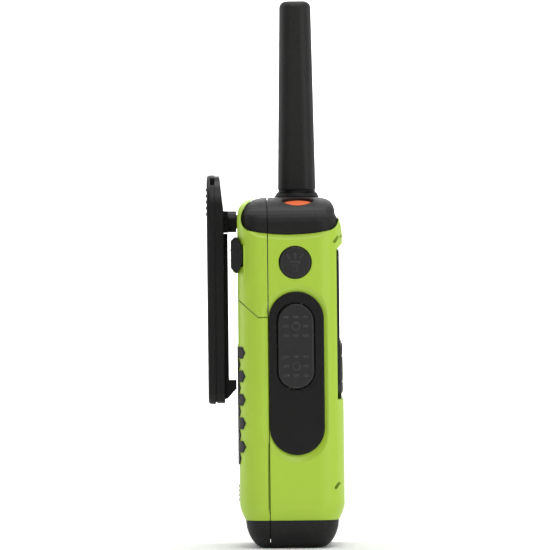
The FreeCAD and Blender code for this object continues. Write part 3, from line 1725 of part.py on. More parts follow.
def electronics():
    """The main board, its shield cans and chips."""
    front = d.board_y
    back = d.board_y + d.board_thick
    right = half_width - 6
    left = -side_board_face + 1.2
    card = block("main_card", left, right, front, back, 24, 104)
    tab = block("main_tab", -20, -11, front, back, 103, 113.5)
    holes = [
        rod(
            "board_hole%d" % i,
            as_size(2.4),
            "Y",
            front - 1,
            back + 1,
            d.boss_x * side,
            getattr(d, level),
        )
        for i, (side, level) in enumerate(SCREW_SPOTS)
    ]
    keep(cut("main_board_solid", fuse("main_joined", card, tab), *holes), "main_board")
    shields = [
        block("can_low", -16, 2, back, back + 2.2, 30, 52),
        block("can_middle", 5, 20, back, back + 2.2, 34, 60),
        block("can_high", -16, 8, back, back + 2.2, 80, 100),
    ]
    keep(group("shields", shields), "shield_cans")
    chips = [
        block("chip_low", -18, -8, front - 1, front, 60, 70),
        block("chip_middle", 2, 12, front - 0.9, front, 62, 70),
        block("chip_high", -4, 4, front - 1.1, front, 50, 58),
        block("chip_back", -12, -4, back, back + 1, 62, 72),
    ]
    keep(group("chips", chips), "board_chips")


# ---------------------------------------------------------------- clip

pin_y = (clip_near + clip_split) / 2
pin_z = d.clip_z
WINDOW_HALF = 7.6
WINDOW_BELOW = 6.6
WINDOW_ABOVE = 6.9


def clip_outline(inset):
    """The clip's outline from behind: round at the top, narrower at the bottom."""
    top = d.clip_top_width / 2 - inset
    base = d.clip_bottom_width / 2 - inset
    low = d.clip_bottom + inset
    high = d.clip_top - inset
    bend = d.clip_z - 3
    return polygon((-base, low), (base, low), (top, bend), (top, high), (-top, high), (-top, bend))


def clip_leaf(label, near_y, far_y, inset):
    """One layer of the clip's paddle."""
    form = Design(label).pad("XZ", near_y, far_y, clip_outline(inset))
    top = d.clip_top - inset
    low = d.clip_bottom + inset
    radius = d.clip_top_width / 2 - inset - 0.1
    form.fillet(radius, along("Y", lambda centre: near(centre.z, top)))
    form.fillet(as_size(4) - inset, along("Y", lambda centre: near(centre.z, low)))
    return form


def clip():
    """The belt clip: post and bracket, pin and spring, and the two layers of the paddle."""
    shaft = rod("post_shaft_rod", d.post_shaft, "Y", boss_inner - 0.4, half_depth + 0.4, 0, pin_z)
    head = rod("post_head", as_size(3.9), "Y", boss_inner - 1.6, boss_inner - 0.3, 0, pin_z)
    bridge = rod("post_bridge", d.post_radius, "Y", half_depth + 0.3, clip_near - 1.5, 0, pin_z)
    keep(fuse("post", shaft, head, bridge), "clip_post")
    base_back = clip_near - 0.7
    reach = d.post_radius
    base = block("bracket_base", -7, 7, clip_near - 1.5, base_back, pin_z - reach, pin_z + reach)
    ears = [base]
    for side in (-1, 1):
        x0, x1 = (-7.0, -4.6) if side < 0 else (4.6, 7.0)
        ears.append(rod("bracket_ear%d" % (side + 1), as_size(2.2), "X", x0, x1, pin_y, pin_z))
        ears.append(
            block("ear_foot%d" % (side + 1), x0, x1, base_back - 0.1, pin_y, pin_z - 2, pin_z + 2)
        )
        cheek = clip_near + 0.4
        ears.append(
            block(
                "ear_cheek%d" % (side + 1), x0, x1, base_back - 0.1, cheek, pin_z - reach, pin_z + reach
            )
        )
    bore = rod("bracket_bore", d.pin_radius, "X", -10, 10, pin_y, pin_z)
    keep(cut("bracket", fuse("bracket_joined", *ears), bore), "clip_bracket")
    keep(rod("hinge_pin", d.pin_radius, "X", -10.4, 10.4, pin_y, pin_z), "clip_pin")
    keep(clip_spring(), "clip_spring")
    clip_inner_layer()
    clip_outer_layer()


def clip_spring():
    """The torsion spring round the pin, between the bracket's ears."""
    turn = Rotation(Vector(0, 1, 0), 90)
    coil_radius = d.pin_radius + 0.75
    helix = doc.addObject("Part::Helix", "spring_line")
    helix.Placement = FreeCAD.Placement(Vector(), turn)
    bind(helix, "Radius", coil_radius)
    helix.Height = 7.2
    helix.Pitch = 0.9
    place(helix, -3.6, pin_y, pin_z)
    wire = doc.addObject("Part::Circle", "spring_wire")
    wire.Radius = 0.35
    wire.Placement = FreeCAD.Placement(Vector(), Rotation(Vector(1, 0, 0), 90))
    place(wire, -3.6, pin_y, pin_z - coil_radius)
    coil = doc.addObject("Part::Sweep", "spring")
    coil.Sections = [wire]
    coil.Spine = (helix, [])
    coil.Solid = True
    coil.Frenet = True
    return coil


def clip_inner_layer():
    """The layer next to the casing, with the rib, the hook and the hinge knuckles."""
    form = clip_leaf("clip_inner_leaf", clip_near, clip_split, 0.35)
    rib_half = d.clip_rib_width / 2
    rib_top = pin_z - 4.1
    rib = block(
        "clip_rib_bar",
        -rib_half,
        rib_half,
        clip_near - d.clip_rib,
        clip_near + 0.1,
        d.clip_bottom + 7,
        rib_top,
    )
    root = clip_near + 0.1
    hook_top = d.clip_bottom + 8.3
    tooth = polygon(
        (root, hook_top),
        (hook_tip, hook_top),
        (hook_tip, hook_top - 3.0),
        (root - 1, d.clip_bottom + 1.9),
        (root, d.clip_bottom + 1.7),
    )
    hook = prism("clip_hook", "YZ", -5.5, 5.5, tooth)
    knuckles = []
    for side in (-1, 1):
        x0, x1 = (-10.8, -WINDOW_HALF) if side < 0 else (WINDOW_HALF, 10.8)
        knuckles.append(rod("knuckle%d" % (side + 1), d.knuckle_radius, "X", x0, x1, pin_y, pin_z))
    window = block(
        "clip_window",
        -WINDOW_HALF,
        WINDOW_HALF,
        clip_near - 3,
        clip_split + 1,
        pin_z - WINDOW_BELOW,
        pin_z + WINDOW_ABOVE,
    )
    bore = rod("clip_pin_bore", d.pin_radius + d.axle_play, "X", -10.5, 10.5, pin_y, pin_z)
    above = d.clip_top + 1
    nose = prism(
        "clip_nose",
        "YZ",
        -20,
        20,
        polygon(
            (clip_near - 1, pin_z + 3.8),
            (clip_near, pin_z + 3.8),
            (clip_near + d.clip_nose, above),
            (clip_near - 1, above),
        ),
    )
    joined = fuse("clip_inner_joined", cut("clip_inner_open", form.body, window), rib, hook, *knuckles)
    keep(
        cut("clip_inner_solid", joined, bore, nose, clip_notch("clip_inner_notch")), "clip_inner"
    )


def clip_notch(label):
    """The small gap that shows between the two layers at the clip's lower end."""
    low = d.clip_bottom - 1
    outline = polygon(
        (clip_split - 0.4, low),
        (clip_split + 0.4, low),
        (clip_split + 0.25, low + 1.8),
        (clip_split - 0.25, low + 1.8),
    )
    return prism(label, "YZ", -20, 20, outline)


def clip_outer_layer():
    """The outer layer, rounded at its edge and hollowed over the hinge."""
    form = clip_leaf("clip_outer_leaf", clip_split, clip_far, as_size(0))
    far = number(clip_far)
    form.fillet(as_size(1.2), on_level("Y", far))
    relief = block(
        "clip_relief",
        -WINDOW_HALF - 3.6,
        WINDOW_HALF + 3.6,
        clip_split - 1,
        clip_split + 1.3,
        pin_z - WINDOW_BELOW,
        pin_z + WINDOW_ABOVE,
    )
    slot_low = d.clip_top - 3.5
    slot_high = d.clip_top - 1.2
    slots = []
    for side, x0, x1 in (("left", -20, -5), ("right", 5, 20)):
        name = "clip_slot_" + side
        slots.append(block(name, x0, x1, clip_split - 1, clip_split + 1.5, slot_low, slot_high))
    notch = clip_notch("clip_outer_notch")
    keep(cut("clip_outer_solid", form.body, relief, notch, *slots), "clip_outer")


# ---------------------------------------------------------------- build, check and write


def build():
    """Makes every sub-part."""
    front_housing()
    face_plate()
    display()
    front_keys()
    speaker()
    talk_panel()
    talk_key()
    light_key()
    side_electronics()
    top_caps()
    emergency_key()
    aerial()
    rear_housing()
    screws()
    ports()
    battery_door()
    boots()
    torch()
    seals()
    battery()
    electronics()
    clip()


def check_objects():
    """Stops if any object failed, or if any sub-part isn't sound."""
    faults = []
    for item in doc.Objects:
        if "Invalid" in item.State or "Error" in item.State:
            faults.append("%s failed: %s" % (item.Label, item.State))
    for item in SUBPARTS:
        shape = item.Shape
        if shape.isNull() or not shape.isValid() or not shape.Solids:
            faults.append(item.Label + " is not a sound solid")
    if faults:
        raise RuntimeError("; ".join(faults))


def write_parts():
    """Writes one STEP file for each sub-part."""
    os.makedirs("parts", exist_ok=True)
    for item in SUBPARTS:
        item.Shape.exportStep(os.path.join("parts", item.Label + ".step"))
        print("%-20s %9.1f mm3  %2d solids" % (item.Label, item.Shape.Volume, len(item.Shape.Solids)))


build()
doc.recompute()
check_objects()
write_parts()
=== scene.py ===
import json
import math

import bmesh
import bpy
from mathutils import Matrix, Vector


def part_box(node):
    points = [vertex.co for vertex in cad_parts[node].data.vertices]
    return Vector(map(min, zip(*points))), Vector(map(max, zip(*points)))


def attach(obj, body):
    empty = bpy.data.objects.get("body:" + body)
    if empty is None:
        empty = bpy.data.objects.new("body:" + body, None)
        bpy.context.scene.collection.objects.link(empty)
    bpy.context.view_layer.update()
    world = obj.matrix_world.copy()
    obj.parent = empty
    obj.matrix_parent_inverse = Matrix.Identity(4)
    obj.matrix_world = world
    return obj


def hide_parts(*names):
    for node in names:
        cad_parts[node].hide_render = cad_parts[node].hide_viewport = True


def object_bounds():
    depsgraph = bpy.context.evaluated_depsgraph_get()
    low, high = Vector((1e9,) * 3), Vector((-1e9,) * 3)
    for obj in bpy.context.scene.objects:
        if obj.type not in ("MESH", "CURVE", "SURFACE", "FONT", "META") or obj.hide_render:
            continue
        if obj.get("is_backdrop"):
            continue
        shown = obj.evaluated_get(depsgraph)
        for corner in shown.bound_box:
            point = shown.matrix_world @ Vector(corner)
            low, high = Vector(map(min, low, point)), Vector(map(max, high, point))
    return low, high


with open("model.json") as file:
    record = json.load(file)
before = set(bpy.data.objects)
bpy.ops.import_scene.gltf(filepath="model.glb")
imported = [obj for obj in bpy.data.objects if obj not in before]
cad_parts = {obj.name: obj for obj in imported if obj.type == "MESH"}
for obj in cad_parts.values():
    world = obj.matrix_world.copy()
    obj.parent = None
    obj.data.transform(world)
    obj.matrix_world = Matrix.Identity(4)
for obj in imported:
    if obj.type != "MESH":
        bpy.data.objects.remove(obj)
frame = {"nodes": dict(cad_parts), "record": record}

# %% [markdown]
# # A two way radio, finished in Blender
# The casing, the cap, the keys, the aerial and the belt clip arrive as exact solids, with their joints.
# This lesson keeps those shapes where they are and gives them what a maker's finisher would: moulded
# grain, worn edges, a film of dust, and the small pieces that are too fine for the solids.
# Each step says what the real thing is, then builds it with mesh operators or shader nodes.

MM = 0.001
scene = bpy.context.scene
cad_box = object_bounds()
nodes = frame["nodes"]
size = cad_box[1] - cad_box[0]
print("the radio measures %.1f x %.1f x %.1f mm" % tuple(v / MM for v in size))

# %% [markdown]
# ## Camera
# The radio is seen from its left side, where the talk key is, with a long lens from three metres away,
# so its edges stay nearly parallel. The camera stands about a degree above the middle and leans by a
# fraction of a degree, as a hand-held studio shot does. The lens follows from two lengths: how far the
# camera stands away, and how tall a field it has to take in there.

# %% Put the camera at the radio's side
DISTANCE = 3.0
FIELD = 0.1919
RISE = math.radians(0.8)
LEAN = math.radians(-0.6)
FILM = 36.0

aim = Vector((0.0, 5.2 * MM, 94.4 * MM))
back = Vector((-math.cos(RISE), 0.0, math.sin(RISE)))
camera = bpy.data.objects.new("camera", bpy.data.cameras.new("camera"))
scene.collection.objects.link(camera)
camera.data.sensor_width = FILM
camera.data.lens = FILM * DISTANCE / FIELD
camera.data.clip_start = 0.01
camera.location = aim + back * DISTANCE
facing = (-back).to_track_quat("-Z", "Y").to_matrix()
leaning = facing @ Matrix.Rotation(LEAN, 3, "Z")
camera.matrix_world = Matrix.Translation(camera.location) @ leaning.to_4x4()
scene.camera = camera
print("lens %.0f mm at %.2f m" % (camera.data.lens, DISTANCE))

# %% [markdown]
# ## Floor and light
# A product table is one pale sheet that runs flat under the object and then curves up behind it. Here it
# is a profile extruded sideways, and it curves up only beyond the camera's distance, so that a camera may
# walk all the way round. The light is what a small studio has: a big soft box above the camera's side, a
# second one low in front, a weak one at the back, and two narrow strips behind that draw the bright lines
# down the sides of the aerial. Two washes keep the sheet white. The world adds an even fill, so black
# plastic never goes fully black, and it looks white where the camera sees past the sheet.

# %% Help for materials
def new_material(name):
    """An empty node material with its output and one Principled shader."""
    made = bpy.data.materials.new(name)
    made.use_nodes = True
    return made, made.node_tree, made.node_tree.nodes["Principled BSDF"]


def srgb(red, green, blue):
    """A colour as a screen shows it, 0 to 255, turned into the shader's linear light."""
    linear = []
    for value in (red, green, blue):
        share = value / 255
        linear.append(share / 12.92 if share <= 0.04045 else ((share + 0.055) / 1.055) ** 2.4)
    return (*linear, 1.0)


# %% Table paper
table_paper, tree, shader = new_material("table_paper")
fibre = tree.nodes.new("ShaderNodeTexNoise")
fibre.inputs["Scale"].default_value = 900
tone = tree.nodes.new("ShaderNodeMix")
tone.data_type = "RGBA"
tone.inputs["A"].default_value = (0.93, 0.93, 0.93, 1)
tone.inputs["B"].default_value = (0.90, 0.90, 0.90, 1)
where = tree.nodes.new("ShaderNodeTexCoord")
tree.links.new(where.outputs["Object"], fibre.inputs["Vector"])
tree.links.new(fibre.outputs["Fac"], tone.inputs["Factor"])
tree.links.new(tone.outputs["Result"], shader.inputs["Base Color"])
shader.inputs["Roughness"].default_value = 0.85
shader.inputs["Specular IOR Level"].default_value = 0.15
print("table paper with", len(tree.nodes), "nodes")

# %% The table sheet
WIDE = 6.0
NEAR_END = -4.0
FLAT_END = 1.2
CURVE_AT = 2.8
CURVE = 0.8
WALL_TOP = 4.0
CURVE_STEPS = 12
sweep = bmesh.new()
spots = [(NEAR_END, 0.0), (FLAT_END, 0.0)]
for step in range(1, CURVE_STEPS + 1):
    turn = math.radians(90 * step / CURVE_STEPS)
    spots.append((CURVE_AT + CURVE * math.sin(turn), CURVE - CURVE * math.cos(turn)))
spots.append((CURVE_AT + CURVE, WALL_TOP))
line = [sweep.verts.new((x, -WIDE, z)) for x, z in spots]
for first, second in zip(line, line[1:]):
    sweep.edges.new((first, second))
grown = bmesh.ops.extrude_edge_only(sweep, edges=sweep.edges[:])
rim = [v for v in grown["geom"] if isinstance(v, bmesh.types.BMVert)]
bmesh.ops.translate(sweep, verts=rim, vec=(0, 2 * WIDE, 0))
bmesh.ops.recalc_face_normals(sweep, faces=sweep.faces[:])
sheet_mesh = bpy.data.meshes.new("table_sheet")
sweep.to_mesh(sheet_mesh)
sweep.free()
table_sheet = bpy.data.objects.new("table_sheet", sheet_mesh)
scene.collection.objects.link(table_sheet)
sheet_mesh.materials.append(table_paper)
table_sheet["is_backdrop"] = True
print("table sheet with", len(sheet_mesh.polygons), "faces")

# %% Soft boxes and strips
def soft_box(name, place, width, height, power, towards=(0, 0, 0.09)):
    """A rectangular light at a place, turned to a point on the radio."""
    lamp = bpy.data.lights.new(name, "AREA")
    lamp.shape = "RECTANGLE"
    lamp.size, lamp.size_y, lamp.energy = width, height, power
    holder = bpy.data.objects.new(name, lamp)
    holder.location = place
    holder.rotation_euler = (Vector(towards) - Vector(place)).to_track_quat("-Z", "Y").to_euler()
    scene.collection.objects.link(holder)
    return holder


soft_box("top_box", (-0.55, -0.15, 1.15), 0.7, 0.6, 5.0)
soft_box("front_box", (-1.0, -0.9, 0.40), 0.5, 0.8, 4.4)
soft_box("side_box", (-1.5, 0.45, 0.45), 0.5, 0.8, 1.3)
soft_box("left_strip", (0.25, 0.75, 0.30), 0.15, 0.9, 2.0)
soft_box("right_strip", (0.25, -0.75, 0.30), 0.15, 0.9, 1.2)
soft_box("wall_wash", (0.5, 0.0, 1.9), 2.4, 0.8, 55, towards=(2.0, 0, 0.5))
soft_box("far_wash", (2.2, 0.0, 1.9), 2.4, 0.8, 70, towards=(3.6, 0, 0.5))

# %% The air
FILL = 0.24
world = bpy.data.worlds.new("studio_air")
scene.world = world
world.use_nodes = True
air = world.node_tree.nodes
air["Background"].inputs["Color"].default_value = (1, 1, 1, 1)
seen = air.new("ShaderNodeLightPath").outputs["Is Camera Ray"]
level = air.new("ShaderNodeMapRange")
level.inputs["To Min"].default_value = FILL
level.inputs["To Max"].default_value = 1.0
world.node_tree.links.new(seen, level.inputs["Value"])
world.node_tree.links.new(level.outputs["Result"], air["Background"].inputs["Strength"])
scene.view_settings.view_transform = "Standard"
print(len(bpy.data.lights), "lights and an even fill")

# %% [markdown]
# ## Shared effects
# Three effects come back in almost every finish, so each is a node group with its own inputs. The nodes
# could be copied into every material, but then a change would have to be made twenty times. Grain is the
# tiny texture that a mould is etched with. Edge wear is what hands do to edges: it compares the true
# surface direction with one that is rounded off over a short radius, so it is strong only near edges. The
# same edge mask also paints edges paler as a painted highlight. Tone is slow, cloudy change in colour,
# with a film of pale dust where a surface looks up.

# %% Help for building node groups
def group(name, inputs, outputs):
    """A shader node group with named number, colour or vector sockets."""
    tree = bpy.data.node_groups.new(name, "ShaderNodeTree")
    for label, kind, start in inputs:
        socket = tree.interface.new_socket(name=label, in_out="INPUT", socket_type="NodeSocket" + kind)
        if start is not None:
            socket.default_value = start
    for label, kind in outputs:
        tree.interface.new_socket(name=label, in_out="OUTPUT", socket_type="NodeSocket" + kind)
    return tree, tree.nodes.new("NodeGroupInput"), tree.nodes.new("NodeGroupOutput")


def maths(tree, action, first, second=None, third=None):
    """A Math node fed by numbers or by other nodes' sockets."""
    node = tree.nodes.new("ShaderNodeMath")
    node.operation = action
    for socket, value in zip(node.inputs, (first, second, third)):
        if isinstance(value, (int, float)):
            socket.default_value = value
        elif value is not None:
            tree.links.new(value, socket)
    return node.outputs[0]


def mixed(tree, share, first, second):
    """Two colours mixed by a share; each may be a colour or a socket."""
    node = tree.nodes.new("ShaderNodeMix")
    node.data_type = "RGBA"
    for name, value in (("Factor", share), ("A", first), ("B", second)):
        fits = [s for s in node.inputs if s.name == name and (name == "Factor" or s.type == "RGBA")]
        socket = fits[0]
        if isinstance(value, bpy.types.NodeSocket):
            tree.links.new(value, socket)
        else:
            socket.default_value = value
    return next(s for s in node.outputs if s.type == "RGBA")


# %% Moulded grain
grain_group, given, result = group(
    "moulded_grain",
    [("Vector", "Vector", None), ("Cells per metre", "Float", 2500.0), ("Pebble", "Float", 0.5)],
    [("Height", "Float"), ("Pits", "Float")],
)
fine = grain_group.nodes.new("ShaderNodeTexNoise")
fine.inputs["Detail"].default_value = 3
cells = grain_group.nodes.new("ShaderNodeTexVoronoi")
cells.feature = "SMOOTH_F1"
cells.inputs["Smoothness"].default_value = 0.6
for texture in (fine, cells):
    grain_group.links.new(given.outputs["Vector"], texture.inputs["Vector"])
    grain_group.links.new(given.outputs["Cells per metre"], texture.inputs["Scale"])
pebble = maths(grain_group, "SUBTRACT", 1.0, cells.outputs["Distance"])
blend = grain_group.nodes.new("ShaderNodeMix")
grain_group.links.new(given.outputs["Pebble"], blend.inputs["Factor"])
grain_group.links.new(fine.outputs["Fac"], blend.inputs["A"])
grain_group.links.new(pebble, blend.inputs["B"])
height = blend.outputs["Result"]
grain_group.links.new(height, result.inputs["Height"])
# Pits is the low part of the grain; the recipe paints it darker, a painted shade in the grain's hollows.
pits = maths(grain_group, "MULTIPLY", maths(grain_group, "SUBTRACT", 0.62, height), 3.0)
grain_group.links.new(maths(grain_group, "MAXIMUM", 0.0, pits), result.inputs["Pits"])
print("group", grain_group.name, "with", len(grain_group.nodes), "nodes")

# %% Edge wear and painted edge highlight
EDGE_SAMPLES = 4
wear_and_highlight_group, given, result = group(
    "edge_wear_and_highlight",
    [("Vector", "Vector", None), ("Radius", "Float", 0.0004), ("Patches per metre", "Float", 300.0)],
    [("Wear and highlight", "Float"), ("Normal", "Vector")],
)
rounded_off = wear_and_highlight_group.nodes.new("ShaderNodeBevel")
rounded_off.samples = EDGE_SAMPLES
wear_and_highlight_group.links.new(given.outputs["Radius"], rounded_off.inputs["Radius"])
true_face = wear_and_highlight_group.nodes.new("ShaderNodeNewGeometry")
agree = wear_and_highlight_group.nodes.new("ShaderNodeVectorMath")
agree.operation = "DOT_PRODUCT"
wear_and_highlight_group.links.new(rounded_off.outputs["Normal"], agree.inputs[0])
wear_and_highlight_group.links.new(true_face.outputs["Normal"], agree.inputs[1])
patches = wear_and_highlight_group.nodes.new("ShaderNodeTexNoise")
wear_and_highlight_group.links.new(given.outputs["Vector"], patches.inputs["Vector"])
wear_and_highlight_group.links.new(given.outputs["Patches per metre"], patches.inputs["Scale"])
edge = maths(wear_and_highlight_group, "MULTIPLY", maths(wear_and_highlight_group, "SUBTRACT", 1.0, agree.outputs["Value"]), 5.0)
patchy = maths(wear_and_highlight_group, "MULTIPLY", maths(wear_and_highlight_group, "MINIMUM", 1.0, edge), patches.outputs["Fac"])
wear_and_highlight_group.links.new(patchy, result.inputs["Wear and highlight"])
wear_and_highlight_group.links.new(rounded_off.outputs["Normal"], result.inputs["Normal"])
print("group", wear_and_highlight_group.name, "with", len(wear_and_highlight_group.nodes), "nodes")

# %% Tone and dust
tone_group, given, result = group(
    "tone_and_dust",
    [
        ("Vector", "Vector", None),
        ("Colour", "Color", (0.5, 0.5, 0.5, 1)),
        ("Second colour", "Color", (0.4, 0.4, 0.4, 1)),
        ("Clouds per metre", "Float", 60.0),
        ("Dust", "Float", 0.05),
    ],
    [("Colour", "Color"), ("Film", "Float")],
)
clouds = tone_group.nodes.new("ShaderNodeTexNoise")
clouds.inputs["Detail"].default_value = 5
tone_group.links.new(given.outputs["Vector"], clouds.inputs["Vector"])
tone_group.links.new(given.outputs["Clouds per metre"], clouds.inputs["Scale"])
specks = tone_group.nodes.new("ShaderNodeTexNoise")
specks.inputs["Scale"].default_value = 1800
specks.inputs["Detail"].default_value = 2
tone_group.links.new(given.outputs["Vector"], specks.inputs["Vector"])
face = tone_group.nodes.new("ShaderNodeNewGeometry")
split = tone_group.nodes.new("ShaderNodeSeparateXYZ")
tone_group.links.new(face.outputs["Normal"], split.inputs[0])
upward = maths(tone_group, "MAXIMUM", 0.15, split.outputs["Z"])
speck = maths(tone_group, "MAXIMUM", 0.0, maths(tone_group, "SUBTRACT", specks.outputs["Fac"], 0.55))
film = maths(tone_group, "MULTIPLY", maths(tone_group, "MULTIPLY", upward, speck), 6.0)
film = maths(tone_group, "MULTIPLY", film, given.outputs["Dust"])
base = mixed(tone_group, clouds.outputs["Fac"], given.outputs["Colour"], given.outputs["Second colour"])
dusty = mixed(tone_group, film, base, (0.62, 0.60, 0.56, 1))
tone_group.links.new(dusty, result.inputs["Colour"])
tone_group.links.new(film, result.inputs["Film"])
print("group", tone_group.name, "with", len(tone_group.nodes), "nodes")

# %% [markdown]
# ## One recipe for moulded and cast finishes
# Most surfaces here differ only in numbers: two close colours, how shiny they are, how coarse the grain
# is, how dark its pits are painted as shade, and how much the edges are paled, partly as wear and partly
# as a painted highlight. One function therefore builds them all from the three groups. The shader itself
# stays in each material, and everything that is the same all over a surface is set on the shader's own
# socket.

# %% The recipe
def add_group(tree, shared, **values):
    """One use of a shared group, with its own numbers."""
    node = tree.nodes.new("ShaderNodeGroup")
    node.node_tree = shared
    for label, value in values.items():
        node.inputs[label.replace("_", " ")].default_value = value
    return node


def moulded(
    name,
    colour,
    second,
    rough=0.45,
    cells=2500.0,
    pebble=0.5,
    depth=0.02,
    edge=0.35,
    wear_and_highlight_tint=None,
    dust=0.05,
    pit_shade=0.0,
    metal=0.0,
    clouds=60.0,
    radius=0.35,
    shine=0.5,
):
    """A material from two colours and a grain, with painted shade in the grain's pits and pale edges that
    are partly wear and partly a painted highlight. Depth and radius are in millimetres.
    """
    made, tree, shader = new_material(name)
    link = tree.links.new
    place = tree.nodes.new("ShaderNodeTexCoord").outputs["Object"]
    tone = add_group(
        tree, tone_group, Colour=colour, Second_colour=second, Clouds_per_metre=clouds, Dust=dust
    )
    grain = add_group(tree, grain_group, Cells_per_metre=cells, Pebble=pebble)
    wear_and_highlight_node = add_group(tree, wear_and_highlight_group, Radius=radius * MM)
    for node in (tone, grain, wear_and_highlight_node):
        link(place, node.inputs["Vector"])
    # Edges are painted paler: wear on some finishes, a painted highlight on others, such as the lime
    # casing and the keys.
    lighter = wear_and_highlight_tint or (*(min(1.0, 0.04 + c * 1.7) for c in colour[:3]), 1.0)
    deeper = (*(0.25 * c for c in colour[:3]), 1.0)
    pale = maths(tree, "MULTIPLY", wear_and_highlight_node.outputs["Wear and highlight"], edge)
    shown = mixed(tree, pale, tone.outputs["Colour"], lighter)
    # painted shade: the grain's pits are darkened towards a deeper tone of the colour
    dark = maths(tree, "MULTIPLY", grain.outputs["Pits"], pit_shade)
    shown = mixed(tree, maths(tree, "MINIMUM", 1.0, dark), shown, deeper)
    link(shown, shader.inputs["Base Color"])
    uneven = maths(tree, "MULTIPLY_ADD", grain.outputs["Height"], 0.12, rough - 0.06)
    polished = maths(tree, "MULTIPLY_ADD", wear_and_highlight_node.outputs["Wear and highlight"], -0.12, uneven)
    dulled = maths(tree, "ADD", polished, tone.outputs["Film"])
    link(maths(tree, "MINIMUM", 1.0, dulled), shader.inputs["Roughness"])
    bump = tree.nodes.new("ShaderNodeBump")
    bump.inputs["Strength"].default_value = 1.0
    bump.inputs["Distance"].default_value = depth * MM
    link(grain.outputs["Height"], bump.inputs["Height"])
    link(wear_and_highlight_node.outputs["Normal"], bump.inputs["Normal"])
    link(bump.outputs["Normal"], shader.inputs["Normal"])
    shader.inputs["Metallic"].default_value = metal
    shader.inputs["Specular IOR Level"].default_value = shine
    return made


finishes = {}

# %% [markdown]
# ## The lime casing
# The casing is moulded in coloured plastic, so scratches stay lime. Its mould is only lightly etched: the
# surface looks smooth and satin, and soft bands of light run down its rounded corners. Its edges are
# painted a paler, almost yellow highlight. One flat green would do for a toy, so two close greens are
# mixed in slow clouds, and the grain is finer than a fingertip can feel.

# %% Lime shell
finishes["shell_plastic"] = moulded(
    "lime_shell",
    srgb(171, 205, 60),
    srgb(165, 198, 55),
    rough=0.40,
    cells=5200,
    pebble=0.3,
    depth=0.006,
    edge=0.35,
    # painted highlight: the pale yellow-lime edge colour along the casing's edges
    wear_and_highlight_tint=srgb(208, 230, 112),
    dust=0.03,
    clouds=25,
    radius=0.6,
    shine=0.45,
)
print("lime shell made")

# %% [markdown]
# ## Black plastics and rubbers
# No two blacks on the radio are alike. The cap is coarsely grained and shows grey sparkle where light
# grazes it. The boots are rubber with a fine grain; in them, the cap, the aerial and the clip the grain's
# pits are painted darker as shade. The aerial's jacket is pebbled, the talk panel is nearly smooth, and
# the clip is a tough, slightly glossy nylon with a fine side grain. One shared black would make them melt
# into one another, so each has its own shade, grain size and shine.

# %% Black family
finishes["cap_plastic"] = moulded(
    "grained_cap", srgb(23, 23, 22), srgb(17, 17, 16), 0.50, cells=2300, pebble=0.65, depth=0.05,
    edge=0.30, pit_shade=0.35, dust=0.04, shine=0.28,
)
finishes["boot_rubber"] = moulded(
    "boot_rubber", srgb(22, 22, 22), srgb(17, 17, 17), 0.50, cells=2600, pebble=0.6, depth=0.035,
    edge=0.25, pit_shade=0.30, dust=0.08, shine=0.28,
)
finishes["aerial_rubber"] = moulded(
    "pebbled_aerial", srgb(31, 31, 30), srgb(23, 23, 22), 0.48, cells=1900, pebble=0.75, depth=0.06,
    edge=0.30, pit_shade=0.35, dust=0.06, shine=0.30,
)
# The keys' pale grey edges, at a strong edge share, are a painted highlight along their rims and raised
# dots.
finishes["key_rubber"] = moulded(
    "key_rubber", srgb(18, 18, 18), srgb(13, 13, 13), 0.42, cells=3600, pebble=0.4, depth=0.012,
    edge=0.85, wear_and_highlight_tint=srgb(120, 120, 118), dust=0.05, radius=0.30, shine=0.5,
)
finishes["panel_plastic"] = moulded(
    "satin_panel", srgb(12, 12, 11), srgb(9, 9, 9), 0.42, cells=3800, pebble=0.4, depth=0.012,
    edge=0.40, wear_and_highlight_tint=srgb(70, 70, 68), dust=0.05, shine=0.26,
)
finishes["face_plastic"] = moulded(
    "front_plate", srgb(20, 20, 21), srgb(16, 16, 17), 0.28, cells=4200, pebble=0.3, depth=0.004,
    edge=0.35, dust=0.10,
)
finishes["clip_plastic"] = moulded(
    "clip_nylon", srgb(17, 17, 17), srgb(12, 12, 12), 0.40, cells=2600, pebble=0.6, depth=0.03,
    edge=0.45, pit_shade=0.30, dust=0.04, shine=0.26,
)
finishes["tub_plastic"] = moulded(
    "tub_plastic", srgb(48, 50, 54), srgb(40, 42, 46), 0.5, cells=2600, pebble=0.4, depth=0.012,
)
finishes["seal"] = moulded(
    "silicone_seal", srgb(92, 96, 100), srgb(80, 84, 88), 0.6, cells=2200, pebble=0.2, depth=0.008,
)
print(len(finishes), "moulded finishes so far")

# %% [markdown]
# ## The orange emergency key
# An emergency key has to be found without looking, so it is bright orange and slightly rubbery. A very
# fine grain breaks up its highlight, and its rim has paled where a finger slides over it. The paling
# could be painted by hand, but the wear group finds the rim by itself.

# %% Orange key
finishes["alert_plastic"] = moulded(
    "orange_key", srgb(236, 112, 58), srgb(226, 100, 48), 0.42, cells=3800, pebble=0.35, depth=0.012,
    edge=0.45, wear_and_highlight_tint=srgb(250, 170, 120), dust=0.04, radius=0.3,
)
print("orange key made")

# %% [markdown]
# ## Metals and parts inside
# Inside are bare metals: bright spring steel, gold-plated contacts, nickel shields, and a speaker with a
# grey paper cone. They use the same recipe with the metal value set, a fine grain and little dust, so
# that what shows through a slot or an open cover is as finished as the outside.

